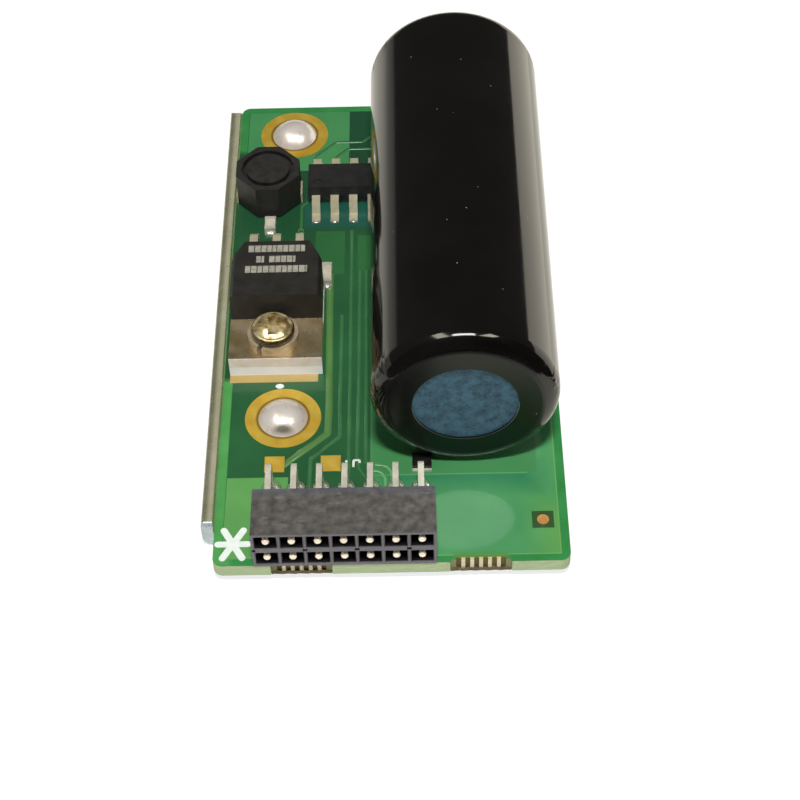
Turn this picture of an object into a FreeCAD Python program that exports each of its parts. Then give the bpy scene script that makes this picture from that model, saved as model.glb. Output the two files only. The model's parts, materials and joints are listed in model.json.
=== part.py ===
import FreeCAD, Part
import math
import os
import re
import Sketcher

# Back-up battery board of a RAID controller: one sleeved cell on a small circuit board.
# X runs to the right, Y to the rear and Z up. The origin is under the middle of the whole part.
# Places on the board are measured from its front left corner, heights from its top face.
SIZES = [
    # board
    ("board_width", 35.4),
    ("board_thick", 1.6),
    ("board_corner", 1.0),
    ("board_rear_margin", 3.4),
    ("pad_thick", 0.05),
    # break-off notches in the front edge, each with a row of half holes
    ("notch_left", 8.8),
    ("notch_right", 26.53),
    ("notch_width", 6.1),
    ("notch_depth", 0.3),
    ("notch_round", 0.25),
    ("bite_diameter", 0.5),
    ("bite_pitch", 0.88),
    ("bite_count", 6),
    # folded sheet rail along the left side
    ("rail_sheet", 1.2),
    ("rail_front", 4.6),
    ("rail_rear_margin", 1.2),
    ("lip_gap", 0.15),
    ("lip_rise", 0.7),
    ("lip_corner", 0.5),
    ("lip_round", 0.42),
    ("lip_edge", 0.15),
    ("flange_width", 12.8),
    ("flange_front", 12.4),
    # rivets that hold the rail, with their plated rings
    ("rivet_left", 6.43),
    ("rivet_front", 18.8),
    ("rivet_rear", 62.8),
    ("rivet_shank", 3.2),
    ("rivet_head", 5.2),
    ("rivet_rise", 1.45),
    ("rivet_tail", 4.6),
    ("rivet_flare", 0.7),
    ("ring_outer", 8.0),
    ("ring_margin", 0.6),
    # small plated lands
    ("test_left", 5.74),
    ("test_spacing", 5.78),
    ("test_front", 11.6),
    ("test_size", 2.05),
    ("fiducial_left", 32.88),
    ("fiducial_front", 5.0),
    ("fiducial_diameter", 1.2),
    # two-row angled socket
    ("socket_left", 5.53),
    ("socket_proud", 0.1),
    ("socket_pitch", 2.54),
    ("socket_columns", 7),
    ("row_height", 1.27),
    ("housing_depth", 5.68),
    ("housing_roof", 1.27),
    ("housing_end", 0.14),
    ("cavity_width", 2.14),
    ("cavity_height", 1.74),
    ("cavity_depth", 4.3),
    ("cavity_lead_in", 0.13),
    ("key_width", 0.5),
    ("key_height", 0.42),
    ("key_depth", 0.5),
    ("contact_width", 0.6),
    ("contact_thick", 0.5),
    ("contact_setback", 0.25),
    ("contact_point", 0.16),
    ("contact_bend", 0.12),
    ("leg_lower", 7.15),
    ("leg_step", 2.54),
    ("leg_hole", 1.0),
    # power transistor lying on an insulating plate and its plated land, a little to the right of its screw
    ("transistor_left", 5.3),
    ("transistor_shift", 0.25),
    ("transistor_front", 24.8),
    ("plate_thick", 1.3),
    ("tab_width", 9.9),
    ("tab_thick", 1.3),
    ("tab_neck", 8.4),
    ("tab_hole", 3.7),
    ("tab_hole_setback", 2.95),
    ("moulding_setback", 5.75),
    ("moulding_width", 9.8),
    ("moulding_depth", 9.1),
    ("moulding_height", 4.5),
    ("moulding_draft", 0.5),
    ("moulding_cut_width", 1.6),
    ("moulding_cut_depth", 3.2),
    ("moulding_bevel", 0.35),
    ("moulding_wall", 1.2),
    ("lead_pitch", 2.54),
    ("lead_width", 0.9),
    ("lead_thick", 0.5),
    ("lead_height", 2.6),
    ("lead_seat", 0.8),
    ("lead_reach", 2.7),
    ("lead_bend", 0.5),
    ("lead_hole", 1.3),
    ("lead_clear", 1.2),
    ("land_width", 9.4),
    ("land_front_margin", 1.05),
    # cross-recess screw and split washer
    ("screw_shank", 3.0),
    ("screw_hole", 3.4),
    ("screw_head", 4.7),
    ("screw_height", 1.5),
    ("screw_rim", 0.4),
    ("screw_round", 0.5),
    ("recess_length", 2.9),
    ("recess_width", 0.85),
    ("recess_depth", 1.2),
    ("washer_inner", 3.2),
    ("washer_outer", 5.4),
    ("washer_thick", 1.0),
    ("washer_gap_angle", 12),
    # sleeved cell
    ("cell_front", 12.1),
    ("cell_margin", 0.65),
    ("cell_diameter", 18.9),
    ("cell_length", 50.6),
    ("cell_lift", 0.1),
    ("sleeve_wall", 0.3),
    ("sleeve_shoulder", 1.9),
    ("sleeve_opening", 10.65),
    ("paper_thick", 0.3),
    ("strap_width", 2.5),
    ("strap_thick", 0.3),
    ("strap_spread", 2.0),
    ("strap_drop", 3.5),
    ("strap_reach", 1.4),
    ("strap_bend", 0.5),
    ("strap_clear", 0.15),
    ("bed_width", 7.0),
    ("bed_inset", 5.0),
    # power inductor
    ("inductor_inset", 0.1),
    ("inductor_front", 48.8),
    ("inductor_width", 7.2),
    ("inductor_chamfer", 2.3),
    ("inductor_height", 4.2),
    ("winding_groove", 0.5),
    ("winding_core", 4.9),
    ("groove_depth", 0.6),
    ("clip_width", 2.2),
    ("clip_thick", 0.2),
    ("clip_foot", 1.6),
    ("clip_rise", 1.3),
    # charger chip with wide legs
    ("chip_gap", 0.72),
    ("chip_front", 50.9),
    ("chip_width", 8.2),
    ("chip_depth", 4.4),
    ("chip_height", 2.3),
    ("chip_standoff", 0.15),
    ("chip_draft", 0.25),
    ("chip_dimple", 0.9),
    ("chip_dimple_inset", 1.08),
    ("chip_dimple_depth", 0.12),
    ("leg_count", 4),
    ("leg_pitch", 2.14),
    ("leg_width", 0.95),
    ("leg_thick", 0.22),
    ("leg_foot", 1.5),
    ("leg_slope", 0.75),
    ("leg_shoulder", 0.8),
    ("leg_seat", 0.5),
    # small surface-mount parts
    ("sense_shift", 4.41),
    ("sense_front", 11.38),
    ("sense_width", 1.96),
    ("sense_depth", 2.2),
    ("sense_height", 0.62),
    ("sense_foot", 0.24),
    ("sense_foot_thick", 0.18),
    ("side_left", 10.65),
    ("side_front", 37.7),
    ("side_width", 1.25),
    ("side_depth", 2.9),
    ("side_height", 0.95),
    ("rear_left", 4.1),
    ("rear_front", 46.25),
    ("rear_width", 1.25),
    ("rear_depth", 2.0),
    ("rear_height", 0.8),
    ("cap_length", 0.4),
    ("cap_proud", 0.04),
]

doc = FreeCAD.newDocument("backup_battery_board")
sheet = doc.addObject("Spreadsheet::Sheet", "Sizes")
for row, (alias, number) in enumerate(SIZES, start=1):
    sheet.set(f"A{row}", alias)
    sheet.set(f"B{row}", str(number))
    sheet.setAlias(f"B{row}", alias)
doc.recompute()
aliases = {alias for alias, number in SIZES}

# Lengths and places that follow from the sizes above
cell_radius = "(cell_diameter / 2)"
strap_leg = "(cell_front + cell_length + strap_reach)"
board_length = (
    f"max({strap_leg} + strap_thick + board_rear_margin;"
    " rivet_rear + ring_outer / 2 + ring_margin)"
)
board_top = "(rail_sheet + board_thick)"
land_top = f"({board_top} + pad_thick)"
plate_top = f"({land_top} + plate_thick)"
board_left = "((rail_sheet + lip_gap - board_width) / 2)"
board_front = f"((socket_proud - {board_length}) / 2)"
cell_axis_left = f"(board_width - cell_margin - {cell_radius})"
cell_axis_height = f"(cell_lift + {cell_radius})"
tail_drop = "(board_thick + rail_sheet)"
lead_row = "(transistor_front + moulding_setback + moulding_depth + lead_reach)"
screw_row = "(transistor_front + tab_hole_setback)"
package_left = "transistor_left + transistor_shift"
plate_rear = "(moulding_setback + moulding_depth - moulding_cut_depth)"
upper_row = "(row_height + socket_pitch)"
housing_height = f"({upper_row} + housing_roof)"
inductor_axis = "(inductor_inset + clip_thick + inductor_width / 2)"
chip_axis = f"({inductor_axis} + inductor_width / 2 + clip_thick + chip_gap + chip_width / 2)"


def linked(text):
    """Names of sizes become references to the sheet's cells."""
    return re.sub(r"[a-z_]\w*", lambda word: f"Sizes.{word[0]}" if word[0] in aliases else word[0], text)


def value(text):
    return float(sheet.evalExpression(linked(text)))


def bind(item, **expressions):
    for name, text in expressions.items():
        item.setExpression(name, linked(text))


def new_body(label, left, front, height, turn=0):
    """A body whose own origin stands at a place on the board, height given from the ground."""
    body = doc.addObject("PartDesign::Body", label)
    body.Label = label
    body.Placement.Rotation = FreeCAD.Rotation(FreeCAD.Vector(0, 0, 1), turn)
    body.setExpression("Placement.Base.x", linked(f"{board_left} + {left}"))
    body.setExpression("Placement.Base.y", linked(f"{board_front} + {front}"))
    body.setExpression("Placement.Base.z", linked(height))
    return body


def origin_plane(body, role):
    return next(item for item in body.Origin.OriginFeatures if item.Role == role)


def new_sketch(body, role, name, offset=None):
    sketch = body.newObject("Sketcher::SketchObject", name)
    sketch.AttachmentSupport = [(origin_plane(body, role), "")]
    sketch.MapMode = "FlatFace"
    if offset:
        sketch.setExpression("AttachmentOffset.Base.z", linked(offset))
    return sketch


def dimension(sketch, text, kind, *where):
    index = sketch.addConstraint(Sketcher.Constraint(kind, *where, value(text)))
    sketch.setExpression(f"Constraints[{index}]", linked(text))


def pin_point(sketch, item, end, across, along):
    dimension(sketch, across, "DistanceX", -1, 1, item, end)
    dimension(sketch, along, "DistanceY", -1, 1, item, end)


def draw_outline(sketch, corners):
    """Closed outline. A corner (x, y) starts a straight side, (x, y, radius, turn) an arc:
    turn 1 bends to the left on the way to the next corner, turn -1 to the right."""
    points = [FreeCAD.Vector(value(corner[0]), value(corner[1]), 0) for corner in corners]
    sides = []
    for corner, first, last in zip(corners, points, points[1:] + points[:1]):
        if len(corner) == 2:
            item = sketch.addGeometry(Part.LineSegment(first, last))
            start, end = 1, 2
        else:
            radius = value(corner[2])
            half = (last - first) * 0.5
            reach = math.sqrt(max(radius ** 2 - half.Length ** 2, 0))
            inward = FreeCAD.Vector(-half.y, half.x, 0).normalize() * (reach * corner[3])
            centre = first + half + inward
            start, end = (1, 2) if corner[3] > 0 else (2, 1)
            begin, finish = (first, last) if corner[3] > 0 else (last, first)
            angles = [math.atan2((p - centre).y, (p - centre).x) for p in (begin, finish)]
            circle = Part.Circle(centre, FreeCAD.Vector(0, 0, 1), radius)
            item = sketch.addGeometry(Part.ArcOfCircle(circle, *angles))
            dimension(sketch, corner[2], "Radius", item)
        pin_point(sketch, item, start, corner[0], corner[1])
        sides.append((item, start, end))
    for (item, start, end), (follower, begin, finish) in zip(sides, sides[1:] + sides[:1]):
        sketch.addConstraint(Sketcher.Constraint("Coincident", item, end, follower, begin))


def draw_rectangle(sketch, left, low, right, high):
    draw_outline(sketch, [(left, low), (right, low), (right, high), (left, high)])


def draw_circle(sketch, across, along, diameter):
    centre = FreeCAD.Vector(value(across), value(along), 0)
    item = sketch.addGeometry(Part.Circle(centre, FreeCAD.Vector(0, 0, 1), value(diameter) / 2))
    pin_point(sketch, item, 3, across, along)
    dimension(sketch, diameter, "Diameter", item)


def add_pad(body, sketch, length, reverse=False, centred=False):
    pad = body.newObject("PartDesign::Pad", f"{sketch.Name}_pad")
    pad.Profile = sketch
    pad.Reversed = reverse
    pad.SideType = "Symmetric" if centred else "One side"
    bind(pad, Length=length)
    doc.recompute()
    return pad


def add_pocket(body, sketch, length=None, reverse=False):
    """A cut from the sketch, right through where no length is given. It has to take something away."""
    before = body.Shape.Volume
    pocket = body.newObject("PartDesign::Pocket", f"{sketch.Name}_pocket")
    pocket.Profile = sketch
    pocket.Reversed = reverse
    if length:
        bind(pocket, Length=length)
    else:
        pocket.Type = "ThroughAll"
    doc.recompute()
    if body.Shape.Volume >= before:
        raise RuntimeError(f"{pocket.Label} cuts nothing")
    return pocket


def add_revolution(body, sketch, angle="360"):
    turned = body.newObject("PartDesign::Revolution", f"{sketch.Name}_turned")
    turned.Profile = sketch
    turned.ReferenceAxis = (sketch, ["V_Axis"])
    bind(turned, Angle=angle)
    doc.recompute()
    return turned


def dress_edges(body, kind, size, wanted):
    """Fillet or chamfer of the edges whose middle point passes the test."""
    names = [
        f"Edge{index}"
        for index, edge in enumerate(body.Shape.Edges, start=1)
        if wanted(edge, body.Placement.inverse().multVec(edge.CenterOfMass))
    ]
    base = body.Tip
    dressing = body.newObject(f"PartDesign::{kind}", f"{body.Name}_{kind.lower()}")
    dressing.Base = (base, names)
    bind(dressing, **{"Radius" if kind == "Fillet" else "Size": size})
    doc.recompute()
    return dressing


def near(first, second):
    return abs(first - second) < 1e-4


def bent_profile(start, height, thick, leg, bend, foot):
    """Side view of a strip that runs back at a height, bends and goes straight down to its foot."""
    low, high = f"({height} - {thick} / 2)", f"({height} + {thick} / 2)"
    inner, outer = f"({leg} - {thick} / 2)", f"({leg} + {thick} / 2)"
    wide_bend = f"({bend} + {thick})"
    return [
        (start, low),
        (f"{inner} - {bend}", low, bend, -1),
        (inner, f"{low} - {bend}"),
        (inner, foot),
        (outer, foot),
        (outer, f"{high} - {wide_bend}", wide_bend, 1),
        (f"{outer} - {wide_bend}", high),
        (start, high),
    ]


def make_board():
    body = new_body("circuit_board", "0", "0", "rail_sheet")
    outline = new_sketch(body, "XY_Plane", "board_outline")
    draw_rectangle(outline, "0", "0", "board_width", board_length)
    add_pad(body, outline, "board_thick")
    sides, ends = (0, value("board_width")), (0, value(board_length))
    dress_edges(
        body, "Fillet", "board_corner",
        lambda edge, middle: any(near(middle.x, side) for side in sides)
        and any(near(middle.y, end) for end in ends),
    )
    drills = new_sketch(body, "XY_Plane", "board_drills")
    for rivet_row in ("rivet_front", "rivet_rear"):
        draw_circle(drills, "rivet_left", rivet_row, "rivet_shank")
    draw_circle(drills, "transistor_left", screw_row, "screw_hole")
    for lead in (-1, 0, 1):
        draw_circle(drills, f"transistor_left + {lead} * lead_pitch", lead_row, "lead_hole")
    for column in range(int(value("socket_columns"))):
        for row in (0, 1):
            draw_circle(
                drills,
                f"socket_left + {column} * socket_pitch",
                f"leg_lower + {row} * leg_step - socket_proud",
                "leg_hole",
            )
    for side in (-1, 1):
        middle = f"({cell_axis_left} + {side} * strap_spread)"
        draw_rectangle(
            drills,
            f"{middle} - strap_width / 2 - strap_clear",
            f"{strap_leg} - strap_thick / 2 - strap_clear",
            f"{middle} + strap_width / 2 + strap_clear",
            f"{strap_leg} + strap_thick / 2 + strap_clear",
        )
    add_pocket(body, drills, reverse=True)
    for place in ("notch_left", "notch_right"):
        cut_notch(body, place)
    return body


def cut_notch(body, place):
    """Break-off notch: a shallow bay with round inner corners and half holes along its back."""
    left, right = f"({place} - notch_width / 2)", f"({place} + notch_width / 2)"
    bay = new_sketch(body, "XY_Plane", f"{place}_bay")
    draw_outline(bay, [
        (left, "-notch_depth"),
        (right, "-notch_depth"),
        (right, "notch_depth - notch_round", "notch_round", 1),
        (f"{right} - notch_round", "notch_depth"),
        (f"{left} + notch_round", "notch_depth", "notch_round", 1),
        (left, "notch_depth - notch_round"),
    ])
    add_pocket(body, bay, reverse=True)
    bites = new_sketch(body, "XY_Plane", f"{place}_bites")
    for bite in range(int(value("bite_count"))):
        across = f"{place} + ({bite} - (bite_count - 1) / 2) * bite_pitch"
        draw_circle(bites, across, "notch_depth", "bite_diameter")
    add_pocket(body, bites, reverse=True)


def make_rail():
    """Folded sheet: an upright lip beside the board and a flange under it, cut back at the front.
    The bend's inner radius is the gap that it leaves beside the board."""
    body = new_body("side_rail", "-(rail_sheet + lip_gap)", "rail_front", "0")
    length = f"({board_length} - rail_front - rail_rear_margin)"
    lip_top = f"({board_top} + lip_rise)"
    wide_bend = "(lip_gap + rail_sheet)"
    section = new_sketch(body, "XZ_Plane", "rail_section")
    draw_outline(section, [
        ("0", wide_bend, wide_bend, 1),
        (wide_bend, "0"),
        ("flange_width", "0"),
        ("flange_width", "rail_sheet"),
        (wide_bend, "rail_sheet", "lip_gap", -1),
        ("rail_sheet", wide_bend),
        ("rail_sheet", f"{lip_top} - lip_edge", "lip_edge", 1),
        ("rail_sheet - lip_edge", lip_top),
        ("lip_round", lip_top, "lip_round", 1),
        ("0", f"{lip_top} - lip_round"),
    ])
    add_pad(body, section, length, reverse=True)
    relief = new_sketch(body, "XY_Plane", "flange_relief")
    free_end = "flange_width + rail_sheet"
    draw_rectangle(relief, wide_bend, "-rail_sheet", free_end, "flange_front - rail_front")
    add_pocket(body, relief, reverse=True)
    across = "(rail_sheet + lip_gap)"
    holes = new_sketch(body, "XY_Plane", "rail_holes")
    for rivet_row in ("rivet_front", "rivet_rear"):
        draw_circle(holes, f"{across} + rivet_left", f"{rivet_row} - rail_front", "rivet_shank")
    draw_circle(holes, f"{across} + transistor_left", f"{screw_row} - rail_front", "screw_shank")
    draw_rectangle(
        holes,
        f"{across} + transistor_left - lead_pitch - lead_clear",
        f"{lead_row} - rail_front - lead_clear",
        f"{across} + transistor_left + lead_pitch + lead_clear",
        f"{lead_row} - rail_front + lead_clear",
    )
    add_pocket(body, holes, reverse=True)
    for rivet_row in ("rivet_front", "rivet_rear"):
        sink = body.newObject("PartDesign::SubtractiveCone", f"{rivet_row}_sink")
        sink.AttachmentSupport = [(origin_plane(body, "XY_Plane"), "")]
        sink.MapMode = "FlatFace"
        sink.setExpression("AttachmentOffset.Base.x", linked(f"{across} + rivet_left"))
        sink.setExpression("AttachmentOffset.Base.y", linked(f"{rivet_row} - rail_front"))
        bind(sink, Radius1="rivet_tail / 2", Radius2="rivet_shank / 2", Height="rivet_flare")
        doc.recompute()
    corners = new_sketch(body, "YZ_Plane", "lip_corners")
    shoulder, past = f"({lip_top} - lip_corner)", f"({lip_top} + lip_corner)"
    draw_outline(corners, [
        ("-lip_corner", shoulder),
        ("0", shoulder, "lip_corner", -1),
        ("lip_corner", lip_top),
        ("lip_corner", past),
        ("-lip_corner", past),
    ])
    draw_outline(corners, [
        (f"{length} + lip_corner", shoulder),
        (f"{length} + lip_corner", past),
        (f"{length} - lip_corner", past),
        (f"{length} - lip_corner", lip_top, "lip_corner", -1),
        (length, shoulder),
    ])
    add_pocket(body, corners, reverse=True)
    return body


def make_rivet(label, rivet_row):
    """Domed head on the plated ring, shank through board and flange, tail spun flush underneath."""
    body = new_body(label, "rivet_left", rivet_row, "0")
    seat, head, shank = land_top, "(rivet_head / 2)", "(rivet_shank / 2)"
    section = new_sketch(body, "XZ_Plane", f"{label}_section")
    dome = f"(({head} ^ 2 + rivet_rise ^ 2) / (2 * rivet_rise))"
    draw_outline(section, [
        ("0", "0"),
        ("rivet_tail / 2", "0"),
        (shank, "rivet_flare"),
        (shank, seat),
        (head, seat, dome, 1),
        ("0", f"{seat} + rivet_rise"),
    ])
    add_revolution(body, section)
    return body


def make_ring_pad(label, rivet_row):
    body = new_body(label, "rivet_left", rivet_row, board_top)
    ring = new_sketch(body, "XY_Plane", f"{label}_ring")
    draw_circle(ring, "0", "0", "ring_outer")
    draw_circle(ring, "0", "0", "rivet_shank")
    add_pad(body, ring, "pad_thick")
    return body


def make_test_pad(label, place):
    body = new_body(label, f"test_left + {place} * test_spacing", "test_front", board_top)
    square = new_sketch(body, "XY_Plane", f"{label}_square")
    draw_rectangle(square, "-test_size / 2", "0", "test_size / 2", "test_size")
    add_pad(body, square, "pad_thick")
    return body


def make_fiducial():
    body = new_body("fiducial_dot", "fiducial_left", "fiducial_front", board_top)
    dot = new_sketch(body, "XY_Plane", "dot_outline")
    draw_circle(dot, "0", "0", "fiducial_diameter")
    add_pad(body, dot, "pad_thick")
    return body


def make_housing():
    """Moulded socket: a mouth for each contact in front and a tight slot for it in the rear wall."""
    body = new_body("socket_housing", "socket_left", "-socket_proud", board_top)
    columns = int(value("socket_columns"))
    left = "(-socket_pitch / 2 - housing_end)"
    right = "((socket_columns - 0.5) * socket_pitch + housing_end)"
    block = new_sketch(body, "XY_Plane", "housing_block")
    draw_rectangle(block, left, "0", right, "housing_depth")
    add_pad(body, block, housing_height)
    mouths = new_sketch(body, "XZ_Plane", "housing_mouths")
    slots = new_sketch(body, "XZ_Plane", "contact_slots")
    for column in range(columns):
        for row in ("row_height", upper_row):
            middle = f"({column} * socket_pitch)"
            draw_rectangle(
                mouths,
                f"{middle} - cavity_width / 2", f"{row} - cavity_height / 2",
                f"{middle} + cavity_width / 2", f"{row} + cavity_height / 2",
            )
            draw_rectangle(
                slots,
                f"{middle} - contact_width / 2", f"{row} - contact_thick / 2",
                f"{middle} + contact_width / 2", f"{row} + contact_thick / 2",
            )
    add_pocket(body, mouths, "cavity_depth")
    add_pocket(body, slots)
    ends = [value(left), value(right)]
    heights = [0, value(housing_height)]
    dress_edges(
        body, "Chamfer", "cavity_lead_in",
        lambda edge, middle: near(middle.y, 0)
        and near(edge.BoundBox.YLength, 0)
        and not any(near(middle.x, end) for end in ends)
        and not any(near(middle.z, height) for height in heights),
    )
    keys = new_sketch(body, "XZ_Plane", "polarity_keys")
    rib_height = "(row_height + socket_pitch / 2)"
    for pair in range((columns + 1) // 2):
        middle = f"(({2 * pair} - 0.5) * socket_pitch)"
        draw_rectangle(
            keys,
            f"{middle} - key_width / 2", f"{rib_height} - key_height / 2",
            f"{middle} + key_width / 2", f"{rib_height} + key_height / 2",
        )
    add_pocket(body, keys, "key_depth")
    return body


def make_contact(label, column, row, height):
    """Square contact with a pointed tip, held in the rear wall and bent down through the board."""
    body = new_body(label, f"socket_left + {column} * socket_pitch", "-socket_proud", board_top)
    side = new_sketch(body, "YZ_Plane", f"{label}_side")
    leg = f"(leg_lower + {row} * leg_step)"
    draw_outline(side, bent_profile(
        "contact_setback", height, "contact_thick", leg, "contact_bend", f"-{tail_drop}",
    ))
    add_pad(body, side, "contact_width", centred=True)
    tip = value("contact_setback")
    dress_edges(
        body, "Chamfer", "contact_point",
        lambda edge, middle: near(middle.y, tip) and near(edge.BoundBox.YLength, 0),
    )
    return body


def make_transistor_land():
    body = new_body("transistor_land", "transistor_left", "transistor_front", board_top)
    land = new_sketch(body, "XY_Plane", "land_outline")
    draw_rectangle(land, "-land_width / 2", "-land_front_margin", "land_width / 2", plate_rear)
    draw_circle(land, "0", "tab_hole_setback", "tab_hole")
    add_pad(body, land, "pad_thick")
    return body


def make_insulator_plate():
    """White plate that lifts the transistor off its land."""
    body = new_body("insulator_plate", package_left, "transistor_front", land_top)
    plate = new_sketch(body, "XY_Plane", "insulator_outline")
    draw_rectangle(plate, "-tab_width / 2", "0", "tab_width / 2", plate_rear)
    draw_circle(plate, "0", "tab_hole_setback", "tab_hole")
    add_pad(body, plate, "plate_thick")
    return body


def make_transistor_tab():
    """Metal plate with its screw hole, narrowed where the moulding grips it."""
    body = new_body("transistor_tab", package_left, "transistor_front", plate_top)
    rear = "(moulding_setback + moulding_depth - moulding_wall)"
    plate = new_sketch(body, "XY_Plane", "tab_outline")
    draw_outline(plate, [
        ("-tab_width / 2", "0"),
        ("tab_width / 2", "0"),
        ("tab_width / 2", "moulding_setback"),
        ("tab_neck / 2", "moulding_setback"),
        ("tab_neck / 2", rear),
        ("-tab_neck / 2", rear),
        ("-tab_neck / 2", "moulding_setback"),
        ("-tab_width / 2", "moulding_setback"),
    ])
    draw_circle(plate, "0", "tab_hole_setback", "tab_hole")
    add_pad(body, plate, "tab_thick")
    return body


def make_transistor_body():
    """Moulding with drafted ends and cut rear corners, open underneath for the tab
    and behind for the three leads."""
    body = new_body("transistor_body", package_left, "transistor_front", plate_top)
    front, rear = "moulding_setback", "(moulding_setback + moulding_depth)"
    side = new_sketch(body, "YZ_Plane", "moulding_side")
    draw_outline(side, [
        (front, "0"),
        (f"{rear} - moulding_draft", "0"),
        (rear, "lead_height"),
        (f"{rear} - moulding_draft", "moulding_height"),
        (f"{front} + moulding_draft", "moulding_height"),
        (front, "tab_thick"),
    ])
    add_pad(body, side, "moulding_width", centred=True)
    top, half = value("moulding_height"), value("moulding_width / 2")
    dress_edges(
        body, "Chamfer", "moulding_bevel",
        lambda edge, middle: near(middle.z, top) and near(abs(middle.x), half),
    )
    cuts = new_sketch(body, "XY_Plane", "moulding_cuts")
    for hand in (-1, 1):
        outer, inner = f"{hand} * moulding_width / 2", f"{hand} * (moulding_width / 2 - moulding_cut_width)"
        corner = [(outer, f"{rear} - moulding_cut_depth"), (outer, rear), (inner, rear)]
        draw_outline(cuts, corner[::hand])
    add_pocket(body, cuts, reverse=True)
    bed = new_sketch(body, "XY_Plane", "tab_bed")
    draw_rectangle(bed, "-tab_neck / 2", front, "tab_neck / 2", f"{rear} - moulding_wall")
    add_pocket(body, bed, "tab_thick", reverse=True)
    sockets = new_sketch(body, "XZ_Plane", "lead_sockets", f"-({rear} - lead_seat)")
    for lead in (-1, 0, 1):
        middle = f"({lead} * lead_pitch - transistor_shift)"
        draw_rectangle(
            sockets,
            f"{middle} - lead_width / 2", "lead_height - lead_thick / 2",
            f"{middle} + lead_width / 2", "lead_height + lead_thick / 2",
        )
    add_pocket(body, sockets)
    return body


def make_transistor_lead(label, place):
    body = new_body(label, f"transistor_left + {place} * lead_pitch", "transistor_front", plate_top)
    side = new_sketch(body, "YZ_Plane", f"{label}_side")
    rear = "(moulding_setback + moulding_depth)"
    draw_outline(side, bent_profile(
        f"{rear} - lead_seat", "lead_height", "lead_thick",
        f"({rear} + lead_reach)", "lead_bend", f"-({tail_drop} + pad_thick + plate_thick)",
    ))
    add_pad(body, side, "lead_width", centred=True)
    return body


def make_screw():
    """Low pan head with a cross recess, shank through tab and board into the flange's tapped hole."""
    body = new_body("tab_screw", "transistor_left", screw_row, "0")
    seat = f"({plate_top} + tab_thick + washer_thick)"
    head, shank = "(screw_head / 2)", "(screw_shank / 2)"
    flat, crown = f"({head} - screw_round)", "(screw_height - screw_rim - screw_round)"
    section = new_sketch(body, "XZ_Plane", "screw_section")
    draw_outline(section, [
        ("0", "0"),
        (shank, "0"),
        (shank, seat),
        (head, seat),
        (head, f"{seat} + screw_rim", "screw_round", 1),
        (flat, f"{seat} + screw_rim + screw_round", f"(({flat} ^ 2 + {crown} ^ 2) / (2 * {crown}))", 1),
        ("0", f"{seat} + screw_height"),
    ])
    add_revolution(body, section)
    arm, half = "(recess_length / 2)", "(recess_width / 2)"
    cross = new_sketch(body, "XY_Plane", "cross_recess", f"{seat} + screw_height")
    draw_outline(cross, [
        (arm, f"-{half}"), (arm, half), (half, half), (half, arm), (f"-{half}", arm), (f"-{half}", half),
        (f"-{arm}", half), (f"-{arm}", f"-{half}"), (f"-{half}", f"-{half}"), (f"-{half}", f"-{arm}"),
        (half, f"-{arm}"), (half, f"-{half}"),
    ])
    add_pocket(body, cross, "recess_depth")
    return body


def make_lock_washer():
    """Square-section spring ring, split towards the front left."""
    split_direction = 245
    seat = f"{plate_top} + tab_thick"
    body = new_body("lock_washer", "transistor_left", screw_row, seat, split_direction)
    section = new_sketch(body, "XZ_Plane", "washer_section")
    draw_rectangle(section, "washer_inner / 2", "0", "washer_outer / 2", "washer_thick")
    add_revolution(body, section, "360 - washer_gap_angle")
    return body


def new_cell_body(label):
    return new_body(label, cell_axis_left, "cell_front", f"{board_top} + {cell_axis_height}")


def make_cell_can():
    """Sealed cell inside the sleeve and its two paper discs."""
    body = new_cell_body("cell_can")
    front, rear = "(sleeve_wall + paper_thick)", "(cell_length - sleeve_wall - paper_thick)"
    radius, edge = f"({cell_radius} - sleeve_wall)", "(sleeve_shoulder - sleeve_wall)"
    section = new_sketch(body, "XY_Plane", "can_section")
    draw_outline(section, [
        ("0", front),
        (f"{radius} - {edge}", front, edge, 1),
        (radius, f"{front} + {edge}"),
        (radius, f"{rear} - {edge}", edge, 1),
        (f"{radius} - {edge}", rear),
        ("0", rear),
    ])
    add_revolution(body, section)
    return body


def make_cell_sleeve():
    """Shrunk sleeve, rolled over both shoulders and open in the middle of each end."""
    body = new_cell_body("cell_sleeve")
    mouth, rear = "(sleeve_opening / 2)", "cell_length"
    outer, inner = cell_radius, f"({cell_radius} - sleeve_wall)"
    turn = f"({cell_radius} - sleeve_shoulder)"
    bend, tight = "sleeve_shoulder", "(sleeve_shoulder - sleeve_wall)"
    section = new_sketch(body, "XY_Plane", "sleeve_section")
    draw_outline(section, [
        (mouth, "0"),
        (turn, "0", bend, 1),
        (outer, bend),
        (outer, f"{rear} - {bend}", bend, 1),
        (turn, rear),
        (mouth, rear),
        (mouth, f"{rear} - sleeve_wall"),
        (turn, f"{rear} - sleeve_wall", tight, -1),
        (inner, f"{rear} - {bend}"),
        (inner, bend, tight, -1),
        (turn, "sleeve_wall"),
        (mouth, "sleeve_wall"),
    ])
    add_revolution(body, section)
    return body


def make_paper_disc(label, offset, slotted):
    """Insulating paper between the can's end and the sleeve's rolled edge."""
    body = new_cell_body(label)
    disc = new_sketch(body, "XZ_Plane", f"{label}_outline", f"-({offset})")
    draw_circle(disc, "0", "0", f"2 * ({cell_radius} - sleeve_shoulder)")
    for side in (-1, 1) if slotted else ():
        middle = f"({side} * strap_spread)"
        draw_rectangle(
            disc,
            f"{middle} - strap_width / 2", "-strap_drop - strap_thick / 2",
            f"{middle} + strap_width / 2", "-strap_drop + strap_thick / 2",
        )
    add_pad(body, disc, "paper_thick", reverse=True)
    return body


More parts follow.
